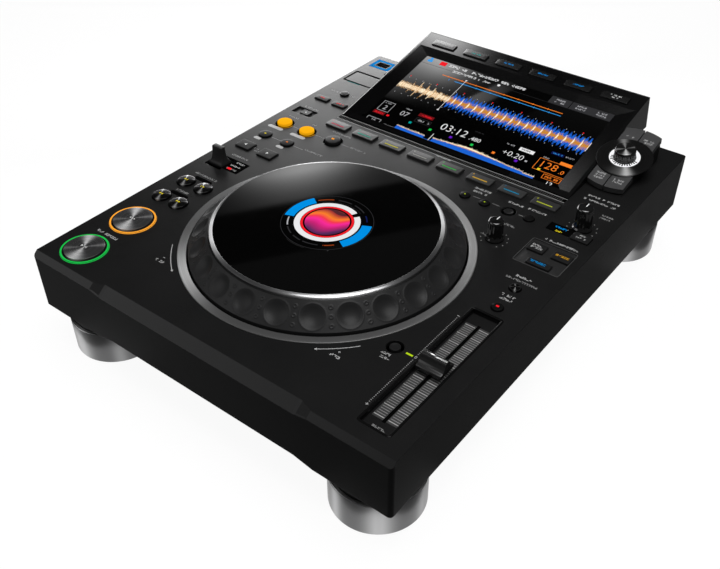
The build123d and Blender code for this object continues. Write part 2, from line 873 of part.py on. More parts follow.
def round_key(x, y, cap_r, collar_r, rise, domed):
    """A domed or flat cap, on a sunk collar where collar_r is larger than the cap."""
    shoulder_z = deck_z - recess_step
    top_z = deck_z + rise
    outline = [(0, skin_under_z - gap), (collar_r, skin_under_z - gap), (collar_r, shoulder_z)]
    if collar_r > cap_r:
        outline.append((cap_r, shoulder_z))
    if domed:
        outline += [(cap_r, deck_z + rise * dome_edge), (cap_r * dome_flat, top_z)]
    else:
        outline.append((cap_r, top_z))
    outline.append((0, top_z))
    return turned(x, y, outline) + key_foot(x, y, 2 * (collar_r + gap + key_flange_lap))


def deck_knob(x, y, radius, height):
    low_z = deck_z + seat
    return turned(
        x,
        y,
        [
            (0, board_top_z + seat),
            (knob_stem_r, board_top_z + seat),
            (knob_stem_r, low_z),
            (radius + knob_skirt_lap, low_z),
            (radius, low_z + knob_skirt_height),
            (radius * knob_taper, deck_z + height),
            (0, deck_z + height),
        ],
    )


# ---- Selector ----
def selector_knob():
    low = selector_disc_rise + seat
    top = selector_disc_rise + selector_knob_height
    knob = turned(
        0,
        0,
        [
            (0, -selector_disc_rise),
            (knob_stem_r, -selector_disc_rise),
            (knob_stem_r, low),
            (selector_knob_skirt_r, low),
            (selector_knob_skirt_r, low + selector_skirt_height),
            (selector_knob_r, low + selector_skirt_height),
            (selector_knob_r, top),
            (0, top),
        ],
    )
    return selector_plane * knob


def selector_key(side_x, side_y):
    """One of the four keys round the disc, with an arched outer end."""
    reach_y = (selector_rear_y - selector_front_y) / 2 / cos(tilt)
    middle_shift = ((selector_rear_y + selector_front_y) / 2 - selector_y) / cos(tilt)
    inner_x = selector_split / 2
    outer_y = side_y * reach_y + middle_shift
    end = Line((side_x * inner_x, 0), (side_x * inner_x, outer_y + side_y * selector_bulge))
    middle_x = side_x * (inner_x + selector_half) / 2
    arch_top = outer_y + side_y * selector_bulge * selector_arch_middle
    arch = ThreePointArc(end @ 1, (middle_x, arch_top), (side_x * selector_half, outer_y))
    down = Line(arch @ 1, (side_x * selector_half, 0))
    close = Line(down @ 1, end @ 0)
    outline = make_face([end, arch, down, close])
    key = extrude(outline, selector_key_thick)
    key -= Cylinder(selector_disc_r + gap, 4 * selector_key_thick)
    return selector_plane * Pos(0, 0, -selector_key_thick) * key


# ---- Tempo fader and direction lever ----
def tempo_fader():
    """A waisted cap with a ridge across it, on a flat stem that runs in the slot."""
    low_z = deck_z - fader_recess_depth + seat
    half = fader_cap[1] / 2
    shoulder_z = low_z + (fader_cap_top_z - low_z) * fader_shoulder
    outline = [
        (-half, low_z),
        (-half, shoulder_z),
        (-fader_waist / 2, shoulder_z + fader_flare),
        (-fader_waist / 2 + fader_flare, fader_cap_top_z),
        (fader_waist / 2 - fader_flare, fader_cap_top_z),
        (fader_waist / 2, shoulder_z + fader_flare),
        (half, shoulder_z),
        (half, low_z),
    ]
    reach = fader_cap[0] / 2
    cap = Pos(0, fader_y, 0) * side_section(outline, fader_x - reach, fader_x + reach)
    return cap + block(fader_x, fader_y, board_top_z + seat, fader_stem[0], fader_stem[1], shoulder_z)


def direction_lever():
    """A tapered lever on a barrel that turns on two stub pins."""
    length = lever_slot[0] - 2 * gap
    along_x = Pos(lever_x, lever_y, lever_pivot_z) * Rot(0, 90, 0)
    lever = along_x * Cylinder(lever_barrel_r, length)
    lever += along_x * Cylinder(lever_pin_r, length + 2 * lever_ear)
    base_z = deck_z + seat
    lever += block(lever_x, lever_y, lever_pivot_z, lever_base[0], lever_web, base_z + seat)
    base = Pos(lever_x, lever_y, base_z) * Rectangle(*lever_base)
    tip = Pos(lever_x, lever_y, deck_z + lever_height) * Rectangle(*lever_tip)
    return lever + loft([base, tip], ruled=True)


def card_door():
    """A flush lid with a rounded hinge edge at its rear."""
    barrel_r = door_thick / 2
    hinge_y = door_y + door_size[1] / 2 - barrel_r
    flat = block(
        door_x,
        (door_y - door_size[1] / 2 + hinge_y) / 2,
        deck_z - door_thick,
        door_size[0],
        door_size[1] - barrel_r,
        deck_z,
    )
    return flat + Pos(door_x, hinge_y, deck_z - barrel_r) * Rot(0, 90, 0) * Cylinder(barrel_r, door_size[0])


# ---- Sockets ----
def audio_places():
    return [audio_x - number * audio_pitch for number in range(audio_count)]


def rear_socket(place, mouth):
    """A body behind the rear wall with a flange outside it and a hollow for the plug."""
    x, width, height, depth = place
    outer_y = rear_y + seat + socket_flange
    body = Pos(x, outer_y - depth / 2, socket_z) * Box(width, depth, height)
    body += Pos(x, rear_y + seat + socket_flange / 2, socket_z) * Box(
        width + 2 * socket_flange, socket_flange, height + 2 * socket_flange
    )
    if mouth:
        body -= Pos(x, outer_y, socket_z) * Box(mouth[0], 2 * mouth[2], mouth[1])
    return body


def rocker_switch():
    x, width, height, depth = power_switch
    face_y = rear_y + seat + socket_flange
    low_z = socket_z - height * rocker_share
    high_z = socket_z + height * rocker_share
    wedge = [(rear_y, low_z), (face_y + rocker_rise, low_z), (face_y, high_z), (rear_y, high_z)]
    rocker = side_section(wedge, x - width * rocker_share, x + width * rocker_share)
    return rear_socket(power_switch, None) + rocker


def audio_jack(x):
    """A round socket: a block behind the rear wall, a nut through it and a barrel."""
    width, height, depth = audio_body
    wall_y = rear_y - side_wall - seat
    body = Pos(x, wall_y - depth / 2, socket_z) * Box(width, depth, height)
    for radius, reach in ((audio_nut_r, audio_nut_rise), (audio_r, audio_length)):
        length = rear_y + reach - wall_y
        body += Pos(x, wall_y + length / 2, socket_z) * Rot(90, 0, 0) * Cylinder(radius, length)
    return body


def usb_port():
    """A frame let into the deck, with the socket shell hanging under it."""
    mouth_z = deck_z - usb_frame_depth
    frame = block(
        usb_x, usb_y, mouth_z - usb_wall, usb_frame[0] - 2 * seat, usb_frame[1] - 2 * seat, deck_z
    )
    inner = usb_wall * 2 + 2 * seat
    frame -= block(usb_x, usb_y, mouth_z, usb_frame[0] - inner, usb_frame[1] - inner, deck_z + 1)
    shell = block(
        usb_x,
        usb_y,
        mouth_z - usb_depth - usb_wall,
        usb_mouth[0] + 2 * usb_wall,
        usb_mouth[1] + 2 * usb_wall,
        mouth_z,
    )
    return frame + shell - block(usb_x, usb_y, mouth_z - usb_depth, usb_mouth[0], usb_mouth[1], deck_z)


def sockets():
    solids = [
        rear_socket(inlet, inlet_mouth),
        rocker_switch(),
        rear_socket(network, network_mouth),
        rear_socket(usb_rear, usb_rear_mouth),
        usb_port(),
    ]
    return Compound(children=solids + [audio_jack(x) for x in audio_places()])


# ---- Boards ----
def main_board_x():
    return left_x + side_wall + board_inset + main_board[0] / 2


def main_board_y():
    return rear_y - side_wall - audio_body[2] - 2 * board_inset - main_board[1] / 2


def circuit_boards():
    """Key boards under the deck, the main board on posts, the fader's body and the power supply."""
    low_z = board_top_z - board_thick
    length = body_depth - front_wall - side_wall - 2 * (board_inset + board_room)
    room = 2 * board_room
    solids = []
    for side in (-1, 1):
        side_x = side * (right_x - side_wall - board_room / 2 - side_board_width / 2)
        board = block(side_x, middle_y + front_wall / 2, low_z, side_board_width, length, board_top_z)
        if side < 0:
            board -= block(usb_x, usb_y, 0, usb_frame[0] + room, usb_frame[1] + room, tall)
            ears = lever_slot[0] + 2 * lever_ear
            board -= block(lever_x, lever_y, 0, ears + room, lever_slot[1], tall)
        solids.append(board)
    cue_y = hot_cue_y + cue_board_shift
    solids.append(block(0, cue_y, low_z, cue_board_width, cue_board_depth, board_top_z))
    track_top = deck_z - fader_recess_depth - fader_floor - seat
    track = block(fader_x, fader_y, board_top_z, fader_body[0], fader_body[1], track_top)
    solids.append(track - block(fader_x, fader_y, 0, fader_slot[0], fader_slot[1], tall))
    main_top = main_board_z + board_thick
    solids.append(block(main_board_x(), main_board_y(), main_board_z, main_board[0], main_board[1], main_top))
    supply_low = body_bottom_z + base_plate
    solids.append(block(supply_x, supply_y, supply_low, supply[0], supply[1], supply_low + supply[2]))
    return Compound(children=solids)


# ---- All pieces ----
def build_pieces():
    pieces["top_cover"] = top_cover()
    pieces["bottom_cover"] = bottom_cover()
    pieces["foot_sleeves"] = foot_sleeves()
    pieces["display_housing"] = display_housing()
    pieces["display_screen"] = display_screen()
    pieces["jog_ring"] = jog_ring()
    pieces["jog_wheel"] = jog_wheel()
    pieces["jog_plate"] = jog_plate()
    pieces["jog_display"] = jog_display()
    pieces["sockets"] = sockets()
    pieces["circuit_boards"] = circuit_boards()
    pieces["tempo_fader"] = tempo_fader()
    pieces["direction_lever"] = direction_lever()
    pieces["card_door"] = card_door()
    pieces["selector_knob"] = selector_knob()
    for name, sides in selector_keys.items():
        pieces[name] = selector_key(*sides)
    for number, x in enumerate(menu_places()):
        pieces[f"menu_key_{number + 1}"] = menu_key(x)
    for letter, x in zip("abcdefgh", hot_cue_places()):
        pieces[f"hot_cue_{letter}"] = flat_key(x, hot_cue_y, hot_cue_width, hot_cue_depth, hot_cue_rise)
    for name, place in all_flat_keys().items():
        pieces[name] = flat_key(*place, flat_key_rise)
    for name, (x, y) in big_keys.items():
        pieces[name] = round_key(x, y, big_key_r, big_key_r, big_key_rise, True)
    for name, (x, y) in search_keys.items():
        pieces[name] = round_key(x, y, search_key_r, search_key_r, search_key_rise, True)
    for name, (x, y) in beat_loop_keys.items():
        pieces[name] = round_key(x, y, beat_loop_r, beat_loop_r, beat_loop_rise, False)
    for name, (x, y) in loop_keys.items():
        pieces[name] = round_key(x, y, loop_cap_r, loop_collar_r, loop_rise, True)
    for name, (x, y) in small_keys.items():
        pieces[name] = round_key(x, y, small_key_r, small_key_r, small_key_rise, False)
    for name, (x, y) in collared_keys.items():
        pieces[name] = round_key(x, y, collared_cap_r, collared_collar_r, small_key_rise, False)
    for name, place in deck_knobs.items():
        pieces[name] = deck_knob(*place)


build_pieces()
os.makedirs("parts", exist_ok=True)
for name, piece in pieces.items():
    export_step(piece, f"parts/{name}.step")
print(len(pieces), "pieces")
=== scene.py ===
import json
from math import atan, cos, pi, radians, sin

import bpy
import numpy as np
from mathutils import Matrix, Vector

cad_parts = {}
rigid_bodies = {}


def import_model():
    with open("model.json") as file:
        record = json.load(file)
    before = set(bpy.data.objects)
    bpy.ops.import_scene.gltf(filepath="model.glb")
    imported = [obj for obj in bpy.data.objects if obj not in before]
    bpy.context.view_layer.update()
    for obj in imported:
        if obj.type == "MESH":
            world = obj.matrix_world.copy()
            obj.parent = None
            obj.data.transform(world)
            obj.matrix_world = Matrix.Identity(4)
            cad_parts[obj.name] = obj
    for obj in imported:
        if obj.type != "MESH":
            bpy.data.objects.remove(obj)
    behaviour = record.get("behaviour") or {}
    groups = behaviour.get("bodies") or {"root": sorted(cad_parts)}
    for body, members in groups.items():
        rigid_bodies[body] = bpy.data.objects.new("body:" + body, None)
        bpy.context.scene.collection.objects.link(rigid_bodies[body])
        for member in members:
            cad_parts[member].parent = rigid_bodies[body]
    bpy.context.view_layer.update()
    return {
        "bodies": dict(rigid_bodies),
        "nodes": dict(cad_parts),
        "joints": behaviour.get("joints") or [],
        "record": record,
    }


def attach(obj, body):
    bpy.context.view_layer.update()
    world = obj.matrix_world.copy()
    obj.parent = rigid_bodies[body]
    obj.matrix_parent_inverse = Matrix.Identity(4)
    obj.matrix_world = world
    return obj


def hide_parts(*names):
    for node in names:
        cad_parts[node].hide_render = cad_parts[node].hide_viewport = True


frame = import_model()
nodes = frame["nodes"]
mm = 0.001
print("frame loaded with", len(nodes), "nodes")

# where the main faces lie, in millimetres
deckTop = 86.6
facePlace = {"frontY": 76.0, "frontZ": 86.9, "rearY": 219.52, "rearZ": 118.0}
faceSlope = (facePlace["rearZ"] - facePlace["frontZ"]) / (facePlace["rearY"] - facePlace["frontY"])
faceTilt = atan(faceSlope)
faceMatrix = Matrix.Translation((0, facePlace["frontY"], facePlace["frontZ"])) @ Matrix.Rotation(faceTilt, 4, "X")
deckMatrix = Matrix.Translation((0, 0, deckTop))
jogCentre = (1.0, -84.9)

# the feet, whose places the metal and the floor also follow
footValues = {
    "x": 129.1, "frontY": -192.2, "rearY": 165.6, "radius": 33.3, "top": 29.0, "floor": 3.0, "wall": 2.7,
    "leftTurn": 42.0,
}
footMiddle = (footValues["frontY"] + footValues["rearY"]) / 2 * mm
footHalf = (footValues["rearY"] - footValues["frontY"]) / 2 * mm


class Signal:
    # a socket that ordinary arithmetic works on
    def __init__(self, graph, socket):
        self.graph, self.socket = graph, socket

    def math(self, operation, *values):
        return self.graph.node("ShaderNodeMath", {"operation": operation}, dict(enumerate(values)))

    def __add__(self, other):
        return self.math("ADD", self, other)

    def __sub__(self, other):
        return self.math("SUBTRACT", self, other)

    def __rsub__(self, other):
        return self.math("SUBTRACT", other, self)

    def __mul__(self, other):
        return self.math("MULTIPLY", self, other)

    def __truediv__(self, other):
        return self.math("DIVIDE", self, other)

    def __pow__(self, other):
        return self.math("POWER", self, other)

    def __gt__(self, other):
        return self.math("GREATER_THAN", self, other)

    def __lt__(self, other):
        return self.math("LESS_THAN", self, other)

    __radd__ = __add__
    __rmul__ = __mul__

    def size(self):
        return self.math("ABSOLUTE", self)

    def atMost(self, most):
        return self.math("MINIMUM", self, most)

    def atLeast(self, least):
        return self.math("MAXIMUM", self, least)

    def rise(self):
        return self.math("POWER", 2.71828, self)

    def bell(self):
        # one in the middle, fading on both sides
        return (self * self * -1).rise()


class Graph:
    # one node tree; every node is made by node()
    def __init__(self, tree):
        self.tree = tree

    def node(self, kind, settings=None, sockets=None, out=0):
        made = self.tree.nodes.new(kind)
        for name, value in (settings or {}).items():
            if name == "stops":
                self.setStops(made.color_ramp, value)
            else:
                setattr(made, name, value)
        for key, value in (sockets or {}).items():
            self.feed(made.inputs[key], value)
        return Signal(self, made.outputs[out])

    def outputs(self, kind, sockets=None):
        # the same, for a node of which several outputs are used
        made = self.node(kind, {}, sockets).socket.node
        return {out.name: Signal(self, out) for out in made.outputs}

    def setStops(self, ramp, stops):
        while len(ramp.elements) < len(stops):
            ramp.elements.new(1.0)
        for element, (position, tone) in zip(ramp.elements, stops):
            element.position = position
            element.color = (*tone, 1)

    def feed(self, socket, value):
        if isinstance(value, Signal):
            self.tree.links.new(value.socket, socket)
        elif hasattr(value, "__len__") and len(value) == 3 and len(socket.default_value) == 4:
            socket.default_value = (*value, 1)
        else:
            socket.default_value = value

    def show(self, end, shader):
        self.feed(self.tree.nodes[end].inputs[0], shader)


class Finish(Graph):
    # one material
    def __init__(self, name):
        self.material = bpy.data.materials.new(name)
        self.material.use_nodes = True
        super().__init__(self.material.node_tree)
        self.shader = self.tree.nodes["Principled BSDF"]
        self.place = self.node("ShaderNodeTexCoord", out="Object")

    def axes(self, place=None):
        return tuple(self.outputs("ShaderNodeSeparateXYZ", {0: place or self.place}).values())

    def mix(self, factor, first, second):
        return self.node("ShaderNodeMix", {"data_type": "RGBA"}, {0: factor, 6: first, 7: second}, out=2)

    def noise(self, scale, detail=2.0, place=None):
        sockets = {"Vector": place or self.place, "Scale": scale, "Detail": detail}
        return self.node("ShaderNodeTexNoise", {}, sockets)

    def stretch(self, scale=(1, 1, 1), location=(0, 0, 0)):
        sockets = {"Vector": self.place, "Scale": scale, "Location": location}
        return self.node("ShaderNodeMapping", {}, sockets)

    def turned(self, vector, angle):
        return self.node("ShaderNodeVectorRotate", {"rotation_type": "X_AXIS"}, {"Vector": vector, "Angle": angle})

    def bump(self, height, strength, distance, normal):
        sockets = {"Height": height, "Strength": strength, "Distance": distance, "Normal": normal}
        return self.node("ShaderNodeBump", {}, sockets)

    def soften(self, radius):
        return self.node("ShaderNodeBevel", {"samples": 6}, {"Radius": radius}, out="Normal")

    def addFan(self, blend, turn, highlightFan, swell=None):
        # painted highlight: pale sectors round a centre, added into the colour; the middle and the half width in
        # degrees, and the strength
        for middle, half, strength in highlightFan:
            off = turn - radians(middle)
            off = off.math("WRAP", off, pi, -pi) / radians(half)
            sector = off.bell()
            blend = blend + (sector if swell is None else sector * swell) * strength
        return blend

    def use(self, **sockets):
        names = {
            "base": "Base Color", "rough": "Roughness", "metal": "Metallic", "coat": "Coat Weight",
            "coatRough": "Coat Roughness", "glow": "Emission Color", "strength": "Emission Strength",
            "level": "Specular IOR Level", "index": "IOR", "normal": "Normal",
        }
        for key, value in sockets.items():
            self.feed(self.shader.inputs[names[key]], value)
        return self.material


def tint(tone):
    return (tone, tone, tone)


paintValues = {
    "deckTone": (0.0085, 0.0085, 0.0086), "deckLight": (0.0107, 0.0107, 0.0108), "deckSlopeSheen": (0.036, 0.036, 0.0363),
    "deckRough": 0.3, "deckLevel": 0.07, "grainScale": 2600.0, "grain": 0.05, "grainDepth": 0.00005, "edge": 0.00035,
    # the slope along the front edge, which carries a painted sheen: how far out its deep middle goes, where its thin
    # ends begin, and their lower edges
    "middleHalf": 0.0915, "endsFrom": 0.1005, "middleY": -0.2183, "middleZ": 0.0806, "endsY": -0.2219, "endsZ": 0.083,
    "wallY": -0.2255, "slopeSheenFall": -2.2, "slopeSheenShare": 0.56, "wallSheenFall": -4.2, "wallSheenShare": 0.62,
}


def paint(finish, tone, light, rough, level, over=None):
    # fine powder grain, a slow drift of tone, softened edges; over gives the share and the tone of a painted sheen
    v = paintValues
    cloud, grain = finish.noise(38.0, 3.0), finish.noise(v["grainScale"], 1.0)
    base = finish.mix(cloud, tone, light)
    if over:
        base = finish.mix(over[0], base, over[1])
    normal = finish.bump(grain, v["grain"], v["grainDepth"], finish.soften(v["edge"]))
    rough = rough + (cloud - 0.5) * 0.08 + (grain - 0.5) * 0.1
    return finish.use(base=base, rough=rough, level=level, normal=normal)


def coverPaint(name):
    # the deck's paint, with a painted sheen on the front wall and on the slope above it, stronger toward the left
    finish = Finish(name)
    v = paintValues
    x, y, z = finish.axes()
    aside = x.size()
    middle = (aside < v["middleHalf"]) * (y < v["middleY"]) * (z > v["middleZ"])
    ends = (aside > v["endsFrom"]) * (y < v["endsY"]) * (z > v["endsZ"])
    slope = middle + ends
    wall = (y < v["wallY"]) * (z < v["endsZ"]) * (1.0 - slope)
    # painted sheen, strongest at the left and fading toward the right
    share = slope * (x * v["slopeSheenFall"] + v["slopeSheenShare"]) + wall * (x * v["wallSheenFall"] + v["wallSheenShare"])
    return paint(finish, v["deckTone"], v["deckLight"], v["deckRough"], v["deckLevel"], (share, v["deckSlopeSheen"]))


def mouldedPlastic(name, tone, light, rough, level=0.5, grain=0.04):
    finish = Finish(name)
    speck, drift = finish.noise(4200.0, 2.0), finish.noise(90.0, 2.0)
    normal = finish.bump(speck, grain, 0.00004, finish.soften(0.0003))
    base = finish.mix(drift, tone, light)
    return finish.use(base=base, rough=rough + (speck - 0.5) * 0.12, level=level, normal=normal)


def glossPlastic(name, tone, rough, level):
    finish = Finish(name)
    smear = finish.noise(60.0, 4.0)
    return finish.use(base=tone, rough=rough + (smear - 0.5) * 0.05, level=level)


def faceGloss(name, tone, light, rough, low, high, edge):
    # black gloss on the tilted face; its clear layer fades out from y = high to low, and is whole where x > edge
    finish = Finish(name)
    drift = finish.noise(90.0, 2.0)
    x, y, z = finish.axes()
    share = ((y - low * mm) / ((high - low) * mm)).atLeast(x > edge * mm)
    coat = share.atLeast(0.0).atMost(1.0)
    return finish.use(base=finish.mix(drift, tone, light), rough=0.5, index=1.01, coat=coat, coatRough=rough)


def brushedMetal(name, tone, light, rough):
    finish = Finish(name)
    streak = finish.noise(900.0, 3.0, finish.stretch())
    normal = finish.bump(streak, 0.12, 0.00004, finish.soften(0.0002))
    rough = rough + (streak - 0.5) * 0.16
    return finish.use(base=finish.mix(streak, tone, light), rough=rough, metal=1.0, normal=normal)


def spunMetal(name, centre, tone, light, rough, groove, wobble, highlightFan, metal, tilt=None):
    # lathe marks: rings about a centre that lean the normal, with a painted highlight: a fan of pale sectors painted
    # into the colour across the face
    finish = Finish(name)
    place = finish.stretch(location=tuple(-c * mm for c in centre))
    if tilt is not None:
        place = finish.turned(place, -tilt)
    across, along, up = finish.axes(place)
    reach = (across * across + along * along) ** 0.5
    sockets = {"W": reach, "Scale": groove, "Detail": 3.0}
    rings = finish.node("ShaderNodeTexNoise", {"noise_dimensions": "1D"}, sockets)
    # the normal leans outward and inward with each ring
    lean = (rings - 0.5) * wobble
    away = reach + 0.00001
    away = finish.node("ShaderNodeCombineXYZ", {}, {0: across / away * lean, 1: along / away * lean})
    if tilt is not None:
        away = finish.turned(away, tilt)
    flat = finish.node("ShaderNodeNewGeometry", out="Normal")
    bent = finish.node("ShaderNodeVectorMath", {"operation": "ADD"}, {0: flat, 1: away})
    normal = finish.node("ShaderNodeVectorMath", {"operation": "NORMALIZE"}, {0: bent})
    turn = across.math("ARCTAN2", along, across)
    # painted highlight: the fan's pale sectors go into the base colour
    blend = finish.addFan(rings * 0.02, turn, highlightFan, rings * 0.5 + 0.75).atMost(1.0)
    rough = rough + (rings - 0.5) * 0.1
    return finish.use(base=finish.mix(blend, tone, light), rough=rough, level=0.02, metal=metal, normal=normal)


def feetMetal(name, tone, light, rough, highlightFan):
    # turned cups with painted reflections: upright bands of light, painted into the colour, that follow the angle round
    # the nearest foot
    finish = Finish(name)
    x, y, z = finish.axes()
    sideX, sideY = (x > 0.0) * 2.0 - 1.0, (y > footMiddle) * 2.0 - 1.0
    across, along = x - sideX * (footValues["x"] * mm), y - footMiddle - sideY * footHalf
    turn = x.math("ARCTAN2", along, across) + (sideX - 1.0) * -radians(footValues["leftTurn"] / 2)
    blend = finish.noise(900.0, 2.0, finish.stretch((1, 1, 14))) * 0.12
    # painted reflection: the bright upright bands
    blend = finish.addFan(blend, turn, highlightFan).atMost(1.0)
    base = finish.mix(blend, tone, light)
    return finish.use(base=base, rough=rough, level=0.02, metal=0.65, normal=finish.soften(0.0003))


def printedInk(name, tone, rough=0.5):
    finish = Finish(name)
    fleck = finish.noise(3200.0, 2.0)
    base = finish.mix(fleck * 0.25, tone, tuple(c * 0.8 for c in tone))
    return finish.use(base=base, rough=rough, index=1.01)


def lamp(name, colour, strength=1.0, base=None, spread=0.12, scale=400.0):
    # a lit part: even light with a faint diffuser grain
    finish = Finish(name)
    glow = finish.mix(finish.noise(scale, 1.0), colour, tuple(c * (1 - spread) for c in colour))
    base = base or tuple(c * 0.15 for c in colour)
    return finish.use(base=base, rough=0.4, index=1.01, glow=glow, strength=strength)


def socketFinish(name, wallY, rightX):
    # black plastic, with nickel on the round sockets that stand out of the rear wall
    finish = Finish(name)
    x, y, z = finish.axes()
    out = (y > wallY) * (x < rightX)
    plastic = finish.mix(finish.noise(90.0, 2.0), tint(0.012), tint(0.018))
    return finish.use(base=finish.mix(out, plastic, (0.5, 0.49, 0.46)), rough=0.3, metal=out, level=0.04)


deckPaint = coverPaint("deckPaint")
panelPaint = paint(Finish("panelPaint"), (0.018, 0.018, 0.0183), (0.024, 0.024, 0.0243), 0.5, 0.03)
baseSteel = paint(Finish("baseSteel"), (0.02, 0.02, 0.021), (0.028, 0.028, 0.029), 0.45, 0.5)
doorGloss = glossPlastic("doorGloss", tint(0.004), 0.16, 0.08)
domePlastic = glossPlastic("domePlastic", tint(0.006), 0.22, 0.03)
plateGloss = glossPlastic("plateGloss", tint(0.0005), 0.05, 0.5)
knobChrome = glossPlastic("knobChrome", tint(0.004), 0.07, 1.0)
knobMetal = glossPlastic("knobMetal", tint(0.003), 0.08, 1.0)
housingPaint = faceGloss("housingPaint", (0.0018, 0.0018, 0.0019), (0.0026, 0.0026, 0.0027), 0.17, 140.0, 222.0, 60.0)
screenGlass = faceGloss("screenGlass", tint(0.0005), tint(0.0007), 0.05, 118.0, 178.0, 1000.0)
socketPlastic = socketFinish("socketPlastic", 0.19915, -0.095)
keyPlastic = mouldedPlastic("keyPlastic", (0.011, 0.011, 0.0112), (0.015, 0.015, 0.0152), 0.33, 0.04, 0.06)
greyKeyPlastic = mouldedPlastic("greyKeyPlastic", (0.042, 0.042, 0.043), (0.056, 0.056, 0.057), 0.4, 0.3, 0.06)
greyCueRubber = mouldedPlastic("greyCueRubber", tint(0.02), tint(0.026), 0.42, 0.2, 0.05)
gripRubber = mouldedPlastic("gripRubber", (0.014, 0.014, 0.0143), (0.02, 0.02, 0.0203), 0.4, 0.14, 0.05)
housingKey = mouldedPlastic("housingKey", tint(0.005), tint(0.008), 0.25, 0.5, 0.03)
faderPlastic = mouldedPlastic("faderPlastic", tint(0.012), tint(0.018), 0.24, 0.5, 0.03)
leverPlastic = mouldedPlastic("leverPlastic", tint(0.012), tint(0.018), 0.3, 0.25, 0.03)
faderPlate = mouldedPlastic("faderPlate", tint(0.02), tint(0.026), 0.45)
boardGreen = mouldedPlastic("boardGreen", (0.01, 0.05, 0.02), (0.015, 0.07, 0.03), 0.4)
ridgeMetal = brushedMetal("ridgeMetal", tint(0.5), tint(0.62), 0.3)
jogAxis = (*jogCentre, 0)
# painted highlights: the pale fans on the turned ring, the rim and the lip
ringSilver = spunMetal("ringSilver", jogAxis, tint(0.105), tint(0.74), 0.4, 900.0, 0.1,
                       [(238, 16, 0.85), (34, 38, 0.42), (140, 16, 0.48)], 0.6)
rimChrome = spunMetal("rimChrome", jogAxis, (0.045, 0.045, 0.046), (0.98, 0.98, 0.99), 0.14, 900.0, 0.0,
                      [(44, 16, 1.2), (137, 15, 0.42), (225, 15, 1.3), (315, 18, 0.9)], 0.35)
lipMetal = spunMetal("lipMetal", jogAxis, tint(0.01), tint(0.62), 0.35, 900.0, 0.0,
                     [(54, 19, 0.85), (138, 18, 0.7), (204, 13, 0.55)], 0.7)
# painted reflection bands on the feet
footMetal = feetMetal("footMetal", (0.16, 0.16, 0.162), (0.72, 0.72, 0.725), 0.28,
                      [(-52, 15, 1.0), (-108, 9, 0.8), (4, 9, 0.4), (62, 14, 0.9), (118, 9, 0.5), (176, 16, 0.8)])
inkWhite, inkPale = printedInk("inkWhite", tint(0.62)), printedInk("inkPale", tint(0.42))
inkGrey, inkDim = printedInk("inkGrey", tint(0.26)), printedInk("inkDim", tint(0.07))
slotBlack = printedInk("slotBlack", tint(0.002), 0.6)
amberCap = lamp("amberCap", (0.95, 0.43, 0.004), 0.55, (0.42, 0.18, 0.003), 0.06, 200.0)
lampWhite = lamp("lampWhite", (0.72, 0.72, 0.73), spread=0.04)
lampSelector = lamp("lampSelector", (0.85, 0.85, 0.87), spread=0.05)
lampGreen = lamp("lampGreen", (0.012, 0.5, 0.07), spread=0.2, scale=220.0)
lampAmber = lamp("lampAmber", (1.0, 0.39, 0.035), spread=0.2, scale=220.0)
lampPort = lamp("lampPort", (0.0, 0.22, 0.6), spread=0.5, scale=160.0)
lampBlueWave = lamp("lampBlueWave", (0.012, 0.12, 0.62), spread=0.3, scale=800.0)
lampGold = lamp("lampGold", (0.62, 0.25, 0.02), spread=0.35, scale=900.0)
lampCream = lamp("lampCream", (1.0, 0.84, 0.6), spread=0.25, scale=900.0)
lampPale, lampDimGrey = lamp("lampPale", (0.4, 0.4, 0.42)), lamp("lampDimGrey", (0.022, 0.022, 0.024))
lampTabGrey, lampNavy = lamp("lampTabGrey", (0.028, 0.028, 0.03)), lamp("lampNavy", (0.005, 0.01, 0.07))
lampRed, lampDeepRed = lamp("lampRed", (0.8, 0.012, 0.02)), lamp("lampDeepRed", (0.14, 0.006, 0.008))
lampRust, lampOrange = lamp("lampRust", (0.3, 0.045, 0.006)), lamp("lampOrange", (0.85, 0.2, 0.02))
lampBlue, lampSync = lamp("lampBlue", (0.0, 0.25, 0.7)), lamp("lampSync", (0.0, 0.2, 0.5))
lampSky, lampPortDeep = lamp("lampSky", (0.03, 0.3, 0.75)), lamp("lampPortDeep", (0.0, 0.06, 0.3))
lampTeal, lampTealDim = lamp("lampTeal", (0.0, 0.3, 0.28)), lamp("lampTealDim", (0.01, 0.14, 0.14))
lampYellow, lampMaster = lamp("lampYellow", (0.75, 0.6, 0.02)), lamp("lampMaster", (0.62, 0.32, 0.02))
lampLime, lampViolet = lamp("lampLime", (0.42, 0.6, 0.01)), lamp("lampViolet", (0.12, 0.01, 0.5))
print("finishes made")


